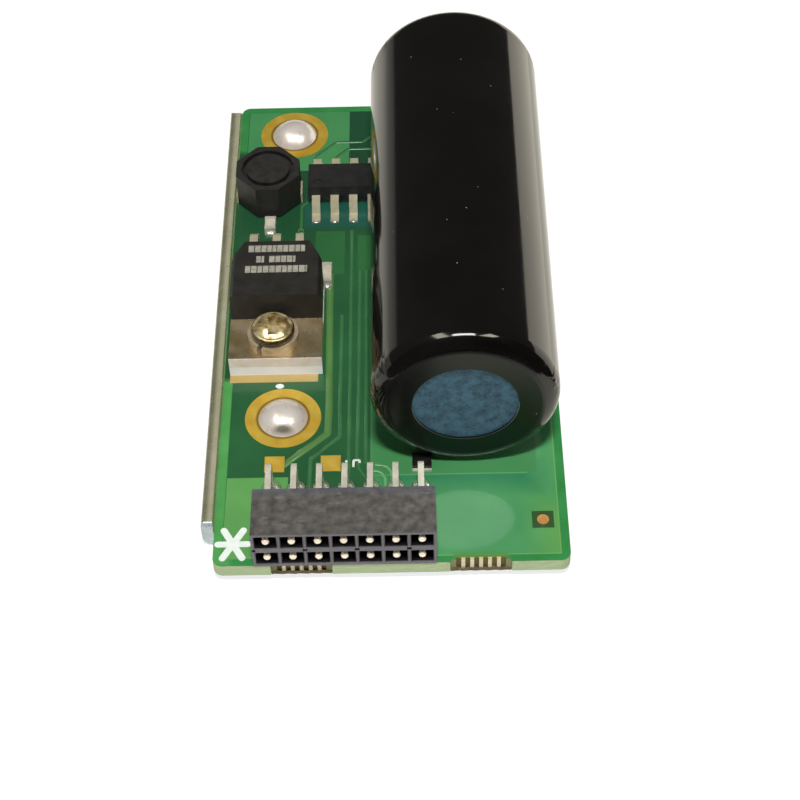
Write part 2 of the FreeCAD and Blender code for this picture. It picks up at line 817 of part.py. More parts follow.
def make_cell_strap(label, side):
    """Nickel strap welded to the can's rear end, bent down through its slot in the board."""
    left = f"{cell_axis_left} + {side} * strap_spread"
    body = new_body(label, left, "cell_front", f"{board_top} + {cell_axis_height}")
    profile = new_sketch(body, "YZ_Plane", f"{label}_side")
    draw_outline(profile, bent_profile(
        "cell_length - sleeve_wall - paper_thick", "(-strap_drop)", "strap_thick",
        "(cell_length + strap_reach)", "strap_bend", f"-({cell_axis_height} + {tail_drop})",
    ))
    add_pad(body, profile, "strap_width", centred=True)
    return body


def make_cell_bed():
    """Adhesive bed between the board and the underside of the sleeve."""
    body = new_body("cell_bed", cell_axis_left, "cell_front + bed_inset", board_top)
    half = "(bed_width / 2)"
    edge = f"({cell_axis_height} - sqrt({cell_radius} ^ 2 - {half} ^ 2))"
    section = new_sketch(body, "XZ_Plane", "bed_section")
    draw_outline(section, [
        (f"-{half}", "0"),
        (half, "0"),
        (half, edge, cell_radius, -1),
        (f"-{half}", edge),
    ])
    add_pad(body, section, "cell_length - 2 * bed_inset", reverse=True)
    return body


def make_inductor():
    """Eight-sided shielded core with a ring groove round the centre post."""
    body = new_body("inductor_core", inductor_axis, "inductor_front", f"{board_top} + clip_thick")
    half, cut = "(inductor_width / 2)", "inductor_chamfer"
    core = new_sketch(body, "XY_Plane", "core_outline")
    draw_outline(core, [
        (f"-{half} + {cut}", "0"),
        (f"{half} - {cut}", "0"),
        (half, cut),
        (half, f"inductor_width - {cut}"),
        (f"{half} - {cut}", "inductor_width"),
        (f"-{half} + {cut}", "inductor_width"),
        (f"-{half}", f"inductor_width - {cut}"),
        (f"-{half}", cut),
    ])
    add_pad(body, core, "inductor_height")
    groove = new_sketch(body, "XY_Plane", "core_groove", "inductor_height")
    draw_circle(groove, "0", half, "winding_core")
    draw_circle(groove, "0", half, "winding_core + 2 * winding_groove")
    add_pocket(body, groove, "groove_depth")
    return body


def make_inductor_clip(label, turn):
    """Tinned foot folded up against the core's side."""
    side = -1 if turn else 1
    left = f"{inductor_axis} + {side} * inductor_width / 2"
    body = new_body(label, left, "inductor_front + inductor_width / 2", board_top, turn)
    section = new_sketch(body, "XZ_Plane", f"{label}_section")
    draw_outline(section, [
        ("-clip_foot", "0"),
        ("clip_thick", "0"),
        ("clip_thick", "clip_rise"),
        ("0", "clip_rise"),
        ("0", "clip_thick"),
        ("-clip_foot", "clip_thick"),
    ])
    add_pad(body, section, "clip_width", centred=True)
    return body


def make_chip():
    """Moulded package with drafted sides and a dimple by its first leg."""
    body = new_body("charger_chip", chip_axis, "chip_front", board_top)
    low, high = "chip_standoff", "(chip_standoff + chip_height)"
    waist = "(chip_standoff + chip_height / 2)"
    side = new_sketch(body, "YZ_Plane", "chip_side")
    draw_outline(side, [
        ("chip_draft", low),
        ("chip_depth - chip_draft", low),
        ("chip_depth", waist),
        ("chip_depth - chip_draft", high),
        ("chip_draft", high),
        ("0", waist),
    ])
    add_pad(body, side, "chip_width", centred=True)
    dimple = new_sketch(body, "XY_Plane", "chip_dimple_outline", high)
    draw_circle(dimple, "-chip_width / 2 + chip_dimple_inset", "chip_draft + chip_dimple", "chip_dimple")
    add_pocket(body, dimple, "chip_dimple_depth")
    seats = new_sketch(body, "XZ_Plane", "front_leg_seats", "-leg_seat")
    rear_seats = new_sketch(body, "XZ_Plane", "rear_leg_seats", "-(chip_depth - leg_seat)")
    for sketch in (seats, rear_seats):
        for leg in range(int(value("leg_count"))):
            middle = f"(({leg} - (leg_count - 1) / 2) * leg_pitch)"
            draw_rectangle(
                sketch,
                f"{middle} - leg_width / 2", f"{waist} - leg_thick / 2",
                f"{middle} + leg_width / 2", f"{waist} + leg_thick / 2",
            )
    add_pocket(body, seats, reverse=True)
    add_pocket(body, rear_seats)
    return body


def make_chip_leg(label, place, turn):
    """Gull-wing leg: out of the package at its waist, down a slope and flat along the board."""
    front = "chip_front + chip_depth" if turn else "chip_front"
    side = -1 if turn else 1
    left = f"{chip_axis} + {side} * ({place} - (leg_count - 1) / 2) * leg_pitch"
    body = new_body(label, left, front, board_top, turn)
    waist = "(chip_standoff + chip_height / 2)"
    low, high = f"({waist} - leg_thick / 2)", f"({waist} + leg_thick / 2)"
    knee, heel = "(-leg_shoulder)", "(-leg_shoulder - leg_slope)"
    profile = new_sketch(body, "YZ_Plane", f"{label}_side")
    draw_outline(profile, [
        ("leg_seat", low),
        ("leg_seat", high),
        (f"{knee} - leg_thick", high),
        (f"{heel} - leg_thick", "leg_thick"),
        (f"{heel} - leg_foot", "leg_thick"),
        (f"{heel} - leg_foot", "0"),
        (heel, "0"),
        (knee, low),
    ])
    add_pad(body, profile, "leg_width", centred=True)
    return body


def make_sense_resistor():
    """Moulded block on a metal strip that shows at its front and rear, tucked under the cell."""
    body = new_body("sense_resistor", f"{cell_axis_left} - sense_shift", "sense_front", board_top)
    strip = new_sketch(body, "XY_Plane", "sense_strip")
    draw_rectangle(strip, "-sense_width / 2", "0", "sense_width / 2", "sense_depth")
    add_pad(body, strip, "sense_foot_thick")
    block = new_sketch(body, "XY_Plane", "sense_block")
    draw_rectangle(block, "-sense_width / 2", "sense_foot", "sense_width / 2", "sense_depth - sense_foot")
    add_pad(body, block, "sense_height")
    return body


def make_capacitor(label, kind):
    """Surface-mount block with a slightly larger end cap at each end."""
    width, depth, height = f"{kind}_width", f"{kind}_depth", f"{kind}_height"
    body = new_body(label, f"{kind}_left", f"{kind}_front", board_top)
    block = new_sketch(body, "XY_Plane", f"{label}_block", "cap_proud")
    draw_rectangle(block, f"-{width} / 2 + cap_proud", "cap_length / 2",
                   f"{width} / 2 - cap_proud", f"{depth} - cap_length / 2")
    add_pad(body, block, f"{height} - 2 * cap_proud")
    for number, front in enumerate(("0", f"({depth} - cap_length)"), start=1):
        cap = new_sketch(body, "XY_Plane", f"{label}_cap_{number}")
        draw_rectangle(cap, f"-{width} / 2", front, f"{width} / 2", f"{front} + cap_length")
        add_pad(body, cap, height)
    return body


parts = [
    make_board(),
    make_rail(),
    make_rivet("front_rivet", "rivet_front"),
    make_rivet("rear_rivet", "rivet_rear"),
    make_ring_pad("front_ring_pad", "rivet_front"),
    make_ring_pad("rear_ring_pad", "rivet_rear"),
    make_test_pad("test_pad_left", 0),
    make_test_pad("test_pad_right", 1),
    make_fiducial(),
    make_housing(),
]
for column in range(int(value("socket_columns"))):
    parts.append(make_contact(f"contact_upper_{column + 1}", column, 1, upper_row))
    parts.append(make_contact(f"contact_lower_{column + 1}", column, 0, "row_height"))
parts += [
    make_transistor_land(),
    make_insulator_plate(),
    make_transistor_tab(),
    make_transistor_body(),
    make_transistor_lead("transistor_lead_left", -1),
    make_transistor_lead("transistor_lead_centre", 0),
    make_transistor_lead("transistor_lead_right", 1),
    make_screw(),
    make_lock_washer(),
    make_cell_can(),
    make_cell_sleeve(),
    make_paper_disc("front_paper_disc", "sleeve_wall", False),
    make_paper_disc("rear_paper_disc", "cell_length - sleeve_wall - paper_thick", True),
    make_cell_strap("cell_strap_left", -1),
    make_cell_strap("cell_strap_right", 1),
    make_cell_bed(),
    make_inductor(),
    make_inductor_clip("inductor_clip_right", 0),
    make_inductor_clip("inductor_clip_left", 180),
    make_chip(),
]
for place in range(int(value("leg_count"))):
    parts.append(make_chip_leg(f"charger_leg_front_{place + 1}", place, 0))
    parts.append(make_chip_leg(f"charger_leg_rear_{place + 1}", place, 180))
parts += [
    make_sense_resistor(),
    make_capacitor("side_capacitor", "side"),
    make_capacitor("rear_capacitor", "rear"),
]

doc.recompute()
for item in doc.Objects:
    if "Invalid" in item.State or "Error" in item.State:
        raise RuntimeError(f"{item.Label} failed: {item.State}")
for part in parts:
    if part.Shape.isNull() or not part.Shape.isValid() or len(part.Shape.Solids) != 1:
        raise RuntimeError(f"{part.Label} is not one sound solid")

os.makedirs("parts", exist_ok=True)
for part in parts:
    part.Shape.exportStep(f"parts/{part.Label}.step")
print(len(parts), "parts written")
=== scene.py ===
import bpy
import json
import math
import random
from mathutils import Matrix, Vector


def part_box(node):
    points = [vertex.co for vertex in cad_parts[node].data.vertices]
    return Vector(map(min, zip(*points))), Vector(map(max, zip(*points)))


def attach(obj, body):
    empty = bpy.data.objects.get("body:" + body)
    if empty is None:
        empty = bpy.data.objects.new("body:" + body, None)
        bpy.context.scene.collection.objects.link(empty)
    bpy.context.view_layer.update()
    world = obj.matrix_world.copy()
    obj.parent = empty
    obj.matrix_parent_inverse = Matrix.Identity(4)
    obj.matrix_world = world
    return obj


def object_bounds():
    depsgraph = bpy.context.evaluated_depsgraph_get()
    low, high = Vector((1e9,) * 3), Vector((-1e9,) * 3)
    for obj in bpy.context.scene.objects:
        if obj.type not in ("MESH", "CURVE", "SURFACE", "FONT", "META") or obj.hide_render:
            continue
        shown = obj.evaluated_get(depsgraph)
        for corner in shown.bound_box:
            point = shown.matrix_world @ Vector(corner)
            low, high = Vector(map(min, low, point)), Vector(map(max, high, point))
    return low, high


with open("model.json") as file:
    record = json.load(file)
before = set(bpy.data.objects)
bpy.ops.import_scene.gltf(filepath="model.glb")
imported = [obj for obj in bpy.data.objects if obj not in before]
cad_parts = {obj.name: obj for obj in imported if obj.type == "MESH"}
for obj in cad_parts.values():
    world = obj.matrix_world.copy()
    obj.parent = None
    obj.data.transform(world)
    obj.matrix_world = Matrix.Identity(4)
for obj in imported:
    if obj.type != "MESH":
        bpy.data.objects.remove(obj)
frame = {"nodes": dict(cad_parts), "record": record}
cadLow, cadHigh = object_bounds()
scene = bpy.context.scene
link = scene.collection.objects.link
cadNodes = frame["nodes"]
slotOf = {part["node"]: part["material_slot"] for part in frame["record"]["subparts"]}
mm, micron = 0.001, 0.000001
boardLow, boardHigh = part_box("circuit_board")
print("frame loaded:", len(cadNodes), "solids")


def onBoard(across, back, height=0.0):  # millimetres from the board's front left corner and its top face
    return Vector((boardLow.x + across * mm, boardLow.y + back * mm, boardHigh.z + height * mm))


def screen(levels):  # a colour read off a screen, as the linear value that a node takes
    def one(level):
        level /= 255
        return level / 12.92 if level < 0.04045 else ((level + 0.055) / 1.055) ** 2.4
    return (*map(one, levels), 1.0)


# nodes of shader and geometry trees, where a kind without the word Node is a shader node

def put(net, kind, inputs=None, **settings):  # one node, with its sockets set or linked
    node = net.nodes.new(kind if "Node" in kind else "ShaderNode" + kind)
    for key, value in settings.items():
        setattr(node, key, value)
    for key, value in (inputs or {}).items():
        if isinstance(value, bpy.types.NodeSocket):
            net.links.new(value, node.inputs[key])
        else:
            node.inputs[key].default_value = value
    return node


def made(net, kind, inputs=None, **settings):  # the first output of such a node
    return put(net, kind, inputs, **settings).outputs[0]


def calc(net, operation, first, second=0.0):
    return made(net, "Math", {0: first, 1: second}, operation=operation)


def times(net, first, second):
    return calc(net, "MULTIPLY", first, second)


def inverse(net, share):
    return calc(net, "SUBTRACT", 1.0, share)


def vector(net, operation, first, second=(0, 0, 0)):
    return made(net, "VectorMath", {0: first, 1: second}, operation=operation)


def split(net, socket):
    return put(net, "SeparateXYZ", {0: socket}).outputs


def hereIn(net):  # the place on the piece, in metres
    return put(net, "TexCoord").outputs["Object"]


def along(net, axis):
    return split(net, hereIn(net))[axis]


def away(net, axis, middle):  # how far the place is from a middle, along one axis
    return calc(net, "ABSOLUTE", calc(net, "SUBTRACT", along(net, axis), middle))


def ramp(net, value, low, high, start=0.0, end=1.0):
    return made(net, "MapRange", {0: value, 1: low, 2: high, 3: start, 4: end})


def blend(net, share, first, second):  # a tone is a socket, a linear colour or three levels of a screen
    first, second = (screen(tone) if isinstance(tone, tuple) and len(tone) == 3 else tone
                     for tone in (first, second))
    return put(net, "Mix", {0: share, 6: first, 7: second}, data_type="RGBA").outputs[2]


def blendValue(net, share, first, second):
    return made(net, "Mix", {0: share, 2: first, 3: second})


def addSocket(net, label, kind, way="INPUT"):
    return net.interface.new_socket(label, in_out=way, socket_type="NodeSocket" + kind)


# camera, floor and light

cameraSet = {
    "place": (0.003719, -0.141724, 0.155265),
    "right": (0.99976, -0.00814, -0.02024),
    "up": (0.01928, 0.76374, 0.64523),
    "forward": (-0.01021, 0.64547, -0.76372),
    "lens": 85.154, "sensor": 36.0, "clip": (0.005, 20),
}


def makeCamera(look):
    data = bpy.data.cameras.new("photoCamera")
    data.lens, data.sensor_width = look["lens"], look["sensor"]
    data.clip_start, data.clip_end = look["clip"]
    camera = bpy.data.objects.new("photoCamera", data)
    turn = Matrix((Vector(look["right"]), Vector(look["up"]), -Vector(look["forward"]))).transposed()
    camera.matrix_world = Matrix.Translation(look["place"]) @ turn.to_4x4()
    link(camera)
    scene.camera = camera


floorSet = {
    "size": 12, "gap": 0.00002, "glow": 0.76,
    "shade": (0.86, 0.86, 0.86, 1),
    "keep": (0.3, 0.3, 0.3, 1),  # share of the white that still takes a shadow
    "plain": (1, 1, 1, 1),
    "warm": (1, 0.94, 0.79, 1),  # tone of the floor as gloss mirrors it
    "fade": (-0.075, -0.033, 0.35),  # that tone falls off to the left, from the second place to the first
}


def makeFloor(look):
    half = look["size"] / 2
    mesh = bpy.data.meshes.new("floor")
    corners = [(-half, -half, 0), (half, -half, 0), (half, half, 0), (-half, half, 0)]
    mesh.from_pydata(corners, [], [(0, 1, 2, 3)])
    floor = bpy.data.objects.new("floor", mesh)
    floor.location.z = cadLow.z - look["gap"]
    link(floor)
    paper = bpy.data.materials.new("palePaper")
    paper.use_nodes = True
    net = paper.node_tree
    net.nodes.clear()
    rays = put(net, "LightPath").outputs
    mirrored = rays["Is Glossy Ray"]
    seen = calc(net, "MAXIMUM", rays["Is Camera Ray"], mirrored)
    seen = calc(net, "MAXIMUM", seen, rays["Is Transmission Ray"])
    tone = blend(net, mirrored, look["plain"], look["warm"])
    fade = ramp(net, along(net, 0), *look["fade"])
    level = times(net, blendValue(net, mirrored, 1.0, fade), look["glow"])
    glow = made(net, "Emission", {"Color": tone, "Strength": level})
    kept = made(net, "BsdfDiffuse", {"Color": look["keep"]})
    white = made(net, "AddShader", {0: kept, 1: glow})
    shaded = made(net, "BsdfDiffuse", {"Color": look["shade"]})
    mixed = made(net, "MixShader", {0: seen, 1: shaded, 2: white})
    below = put(net, "NewGeometry").outputs["Backfacing"]  # open to a look from underneath
    clear = made(net, "BsdfTransparent")
    mixed = made(net, "MixShader", {0: below, 1: mixed, 2: clear})
    put(net, "OutputMaterial", {"Surface": mixed})
    mesh.materials.append(paper)
    return floor.location.z


cardSet = {
    "dark": {"gap": 0.013, "half": 0.08, "top": 0.1, "shade": (0.01, 0.01, 0.01, 1)},
    "wing": {"across": 0.0358, "bottom": 0.006, "top": 0.05},
    "pale": {"across": 0.035, "front": -0.02, "rear": 0.14, "top": 0.0215,
             "shade": (1, 0.94, 0.79, 1), "glow": 1.5},
    # a glowing card, no lamp, that stands for the lit paper disc: a painted reflection of it in the board's
    # gloss
    "disc": {"gap": 0.0002, "sides": 48, "shade": (0.88, 1, 0.92, 1), "glow": 0.85},
}


def standCard(name, corners, shade, glow=0.0):  # a card that only gloss mirrors
    mesh = bpy.data.meshes.new(name)
    mesh.from_pydata(corners, [], [range(len(corners))])
    card = bpy.data.objects.new(name, mesh)
    card.visible_camera = card.visible_diffuse = card.visible_shadow = card.visible_transmission = False
    link(card)
    finish = bpy.data.materials.new(name)
    finish.use_nodes = True
    mesh.materials.append(finish)
    sockets = finish.node_tree.nodes["Principled BSDF"].inputs
    sockets["Base Color"].default_value = (0, 0, 0, 1) if glow else shade
    if glow:
        sockets["Emission Color"].default_value = shade
        sockets["Emission Strength"].default_value = glow


def sideCorners(across, start, stop, bottom, top):
    return [(across, start, bottom), (across, stop, bottom), (across, stop, top), (across, start, top)]


def makeCards(look, low):
    dark, wing, pale, lit = look["dark"], look["wing"], look["pale"], look["disc"]
    wide, edge, top = dark["half"], boardLow.y - dark["gap"], dark["top"]
    corners = [(-wide, edge, 0), (wide, edge, 0), (wide, edge, top), (-wide, edge, top)]
    standCard("darkCard", corners, dark["shade"])
    corners = sideCorners(wing["across"], edge, pale["front"], low + wing["bottom"], low + wing["top"])
    standCard("darkWing", corners, dark["shade"])
    corners = sideCorners(pale["across"], pale["front"], pale["rear"], low, low + pale["top"])
    standCard("paleCard", corners, pale["shade"], pale["glow"])
    discLow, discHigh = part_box("front_paper_disc")
    middle, radius = (discLow + discHigh) / 2, (discHigh.x - discLow.x) / 2
    turns = [math.tau * i / lit["sides"] for i in range(lit["sides"])]
    back = discLow.y - lit["gap"]
    corners = [(middle.x + radius * math.cos(turn), back, middle.z + radius * math.sin(turn))
               for turn in turns]
    standCard("discGlow", corners, lit["shade"], lit["glow"])


lightSet = {
    "room": (0.085, 0.083, 0.077, 1), "aim": (0, -0.01, 0.005),
    "lamps": {  # place, size, power, tint and the only light that it gives
        "overheadKey": ((0.012, -0.18, 0.5), (0.07, 0.04), 2.75, (0.97, 0.95, 0.89), "diffuse"),
        "coolOverhead": ((0, -0.12, 0.5), (0.2, 0.09), 1.35, (0.95, 0.97, 1), "gloss"),
        "warmLeft": ((-0.21, -0.06, 0.46), (0.3, 0.1), 0.75, (1, 0.93, 0.78), "gloss"),
        "warmRight": ((0.21, -0.14, 0.45), (0.26, 0.1), 0.75, (1, 0.93, 0.78), "gloss"),
        "frontFill": ((-0.14, -0.5, 0.3), (0.36, 0.22), 0.8, (0.93, 0.97, 1), "diffuse"),
    },
}


def makeLight(look):
    world = bpy.data.worlds.new("softRoom")
    scene.world = world
    world.use_nodes = True
    net = world.node_tree
    net.nodes.clear()
    room = made(net, "Background", {"Color": look["room"]})
    put(net, "OutputWorld", {"Surface": room})
    for name, (place, size, power, tint, gives) in look["lamps"].items():
        data = bpy.data.lights.new(name, "AREA")
        data.shape = "RECTANGLE"
        data.size, data.size_y = size
        data.energy, data.color = power, tint
        light = bpy.data.objects.new(name, data)
        turn = (Vector(place) - Vector(look["aim"])).to_track_quat("Z", "Y").to_matrix()
        light.matrix_world = Matrix.Translation(place) @ turn.to_4x4()
        light.visible_camera = False
        light.visible_glossy = gives == "gloss"
        light.visible_diffuse = gives == "diffuse"
        link(light)
    scene.view_settings.view_transform = "Standard"


makeCamera(cameraSet)
makeCards(cardSet, makeFloor(floorSet))
makeLight(lightSet)
print("camera, floor and lamps set")


# effects that several finishes share

def startEffect(name, **inputs):
    net = bpy.data.node_groups.new(name, "ShaderNodeTree")
    for label, value in inputs.items():
        kind = "Float" if isinstance(value, float) else {3: "Vector", 4: "Color"}[len(value)]
        addSocket(net, label, kind).default_value = value
    return net, net.nodes.new("NodeGroupInput").outputs, hereIn(net)


def endEffect(net, **results):
    kinds = {"VALUE": "Float", "VECTOR": "Vector", "RGBA": "Color"}
    for label, socket in results.items():
        addSocket(net, label, kinds[socket.type], "OUTPUT")
    ends = net.nodes.new("NodeGroupOutput").inputs
    for label, socket in results.items():
        net.links.new(socket, ends[label])
    return net


effectSet = {"toneDetail": 5.0, "toneEdge": (0.32, 0.68), "detail": 3.0, "roughEdge": (0.3, 0.7)}


def cloudOf(net, place, scale, detail):
    return made(net, "TexNoise", {"Vector": place, "Scale": scale, "Detail": detail})


def makeCloudTone():  # two tones that drift into each other
    net, given, here = startEffect(
        "cloudTone", Base=(0.5, 0.5, 0.5, 1), Tint=(0.6, 0.6, 0.6, 1), Scale=400.0, Amount=0.5)
    cloud = cloudOf(net, here, given["Scale"], effectSet["toneDetail"])
    share = times(net, ramp(net, cloud, *effectSet["toneEdge"]), given["Amount"])
    return endEffect(net, Color=blend(net, share, given["Base"], given["Tint"]))


def makeDriftRough():  # roughness that wanders between two values
    net, given, here = startEffect("driftRough", Low=0.3, High=0.5, Scale=600.0)
    cloud = cloudOf(net, here, given["Scale"], effectSet["detail"])
    rough = ramp(net, cloud, *effectSet["roughEdge"], given["Low"], given["High"])
    return endEffect(net, Roughness=rough)


def makeFineRelief():  # small even bumps, stretched along an axis if asked
    net, given, here = startEffect("fineRelief", Scale=4000.0, Depth=0.00001, Stretch=(1, 1, 1))
    drawn = vector(net, "MULTIPLY", here, given["Stretch"])
    grain = cloudOf(net, drawn, given["Scale"], effectSet["detail"])
    bump = made(net, "Bump", {"Distance": given["Depth"], "Height": grain})
    return endEffect(net, Normal=bump, Height=grain)


def makeAreaMask():  # 1 inside a box seen from above, 0 outside, with a soft edge
    net, given, here = startEffect("areaMask", Centre=(0, 0, 0), Half=(0.001, 0.001, 1), Soft=0.00003)
    apart = vector(net, "ABSOLUTE", vector(net, "SUBTRACT", here, given["Centre"]))
    past = split(net, vector(net, "SUBTRACT", apart, given["Half"]))
    side = calc(net, "MAXIMUM", past[0], past[1])
    inner = times(net, given["Soft"], -1.0)
    return endEffect(net, Mask=ramp(net, side, inner, given["Soft"], 1.0, 0.0))


def makeSpotMask():  # 1 inside an ellipse seen from above, 0 outside
    net, given, here = startEffect("spotMask", Centre=(0, 0, 0), Half=(0.001, 0.001, 1), Soft=0.2)
    apart = vector(net, "DIVIDE", vector(net, "SUBTRACT", here, given["Centre"]), given["Half"])
    flat = vector(net, "MULTIPLY", apart, (1, 1, 0))
    far = put(net, "VectorMath", {0: flat}, operation="LENGTH").outputs["Value"]
    inner, outer = inverse(net, given["Soft"]), calc(net, "ADD", 1.0, given["Soft"])
    return endEffect(net, Mask=ramp(net, far, inner, outer, 1.0, 0.0))


cloudTone, driftRough, fineRelief = makeCloudTone(), makeDriftRough(), makeFineRelief()
areaMask, spotMask = makeAreaMask(), makeSpotMask()


def effect(net, group, **inputs):
    return put(net, "Group", inputs, node_tree=group).outputs


def twoTone(net, tones, scale, amount=0.9):
    base, tint = map(screen, tones)
    return effect(net, cloudTone, Base=base, Tint=tint, Scale=scale, Amount=amount)[0]


def toneOf(net, look, key="tone", amount=0.9):  # a pair of tones from the settings, at its own scale
    return twoTone(net, look[key], look[key + "Scale"], amount)


def mottle(net, scale, stretch):  # the relief's height alone, from 0 to 1
    return effect(net, fineRelief, Scale=scale, Stretch=stretch)["Height"]


def areaOnBoard(net, area, soft=0.03):
    left, front, right, rear = area
    middle = onBoard((left + right) / 2, (front + rear) / 2)
    half = ((right - left) / 2 * mm, (rear - front) / 2 * mm, 1)
    return effect(net, areaMask, Centre=middle, Half=half, Soft=soft * mm)[0]


def spotAt(net, middle, wide, deep, soft):
    return effect(net, spotMask, Centre=middle, Half=(wide, deep, 1), Soft=soft)[0]


def frontBand(net, low, band):  # 0 behind the first depth from a piece's front, 1 before the second
    return ramp(net, along(net, 1), low.y + band[0] * mm, low.y + band[1] * mm)


# each finish: the shader's plain numbers, then tone, roughness and relief

plainSockets = {"Metallic": "metal", "Specular IOR Level": "specular", "Coat Weight": "coat",
                "Coat Roughness": "coatRough"}
finishes = {}


def dress(net, shader, look, color, height=None, dull=None, links=None):
    low, high = look["rough"]
    rough = effect(net, driftRough, Low=low, High=high, Scale=look.get("roughScale", 700))[0]
    if dull is not None:  # where a mask is set, a duller surface
        rough = blendValue(net, dull, rough, look["dullRough"])
    scale, depth = look["grain"]
    stretch = look.get("stretch", (1, 1, 1))
    normal = effect(net, fineRelief, Scale=scale, Depth=depth * micron, Stretch=stretch)["Normal"]
    if height is not None:
        normal = made(net, "Bump", {"Distance": look["stepDepth"], "Height": height, "Normal": normal})
    sockets = {"Base Color": color, "Roughness": rough, "Normal": normal, **(links or {})}
    for label, socket in sockets.items():
        net.links.new(socket, shader[label])


def paintPlain(net, look):
    return {"color": toneOf(net, look, amount=look.get("toneAmount", 0.6))}


def addFinish(name, look, paint=paintPlain):
    material = bpy.data.materials.new(name)
    material.use_nodes = True
    net = material.node_tree
    shader = net.nodes["Principled BSDF"].inputs
    for label, key in plainSockets.items():
        if key in look:
            shader[label].default_value = look[key]
    dress(net, shader, look, **paint(net, look))
    finishes[name] = material


# finishes of one metal, moulding or ink each: two tones, the scale of their drift, roughness from and to,
# the grain's scale and its depth in micrometres, and what else it needs

solderGloss = {"metal": 0.7, "coat": 0.6, "coatRough": 0.06}
maskGloss = {"coat": 0.4, "coatRough": 0.06}
finishSet = {
    "land_gilt": ((182, 158, 96), (200, 178, 124), 500, (0.45, 0.58), 3000, 3, {"metal": 0.35}),
    "fiducial_copper": ((214, 150, 84), (232, 184, 120), 1500, (0.4, 0.5), 9000, 5, {"metal": 0.6}),
    "insulator_ceramic": ((236, 236, 240), (246, 247, 250), 600, (0.4, 0.55), 3000, 6, {}),
    "transistor_epoxy": ((27, 25, 23), (42, 40, 36), 900, (0.42, 0.58), 9000, 12, {}),
    "tinned_lead": ((198, 192, 160), (222, 216, 194), 1200, (0.25, 0.42), 6000, 5, {"metal": 0.45}),
    "washer_steel": ((196, 176, 146), (226, 210, 188), 800, (0.26, 0.42), 2400, 3, {"metal": 0.6}),
    "cell_steel": ((188, 188, 186), (206, 206, 204), 400, (0.25, 0.4), 5000, 4, {"metal": 1}),
    "strap_nickel": ((196, 192, 182), (214, 210, 202), 600, (0.28, 0.42), 3200, 4,
                     {"metal": 1, "stretch": (1, 1, 0.1)}),
    "bed_adhesive": ((196, 190, 170), (214, 208, 190), 700, (0.35, 0.55), 1600, 30, {}),
    "ferrite": ((24, 23, 22), (38, 36, 34), 1400, (0.5, 0.7), 5200, 16, {"toneAmount": 0.8}),
    "chip_epoxy": ((24, 24, 25), (36, 36, 37), 1200, (0.45, 0.6), 9500, 10, {}),
    "silk_ink": ((234, 242, 240), (216, 228, 224), 1800, (0.45, 0.6), 9000, 6, {"toneAmount": 0.7}),
    "print_ink": ((170, 168, 156), (132, 130, 120), 2600, (0.5, 0.65), 9000, 6, {"toneAmount": 0.8}),
    "solder_joint": ((216, 214, 206), (244, 242, 238), 1500, (0.12, 0.24), 1600, 10, solderGloss),
    "run_wide": ((82, 126, 70), (94, 142, 82), 260, (0.12, 0.2), 2600, 4, {"toneAmount": 0.8, **maskGloss}),
    "run_narrow": ((54, 108, 66), (68, 126, 80), 260, (0.12, 0.2), 2600, 4, {"toneAmount": 0.8, **maskGloss}),
    "run_pale": ((104, 164, 108), (118, 176, 122), 260, (0.12, 0.2), 2600, 4, maskGloss),
    "mask_seal": ((88, 122, 76), (110, 144, 96), 300, (0.35, 0.5), 1500, 6, {"toneAmount": 0.9}),
    # torn resin, dark also as painted shade under the notches
    "burr_resin": ((66, 54, 32), (104, 92, 62), 2400, (0.6, 0.8), 4000, 20, {"toneAmount": 0.9}),
    # near white: a painted highlight on the gilt tips
    "gilt_tip": ((250, 236, 210), (255, 248, 236), 2600, (0.2, 0.32), 3000, 3,
                 {"metal": 0.2, "coat": 0.6, "coatRough": 0.1}),
}
for name, (base, tint, scale, rough, grainScale, grainDepth, others) in finishSet.items():
    addFinish(name, {"tone": (base, tint), "toneScale": scale, "rough": rough,
                     "grain": (grainScale, grainDepth), **others})
print("plain finishes:", len(finishes))
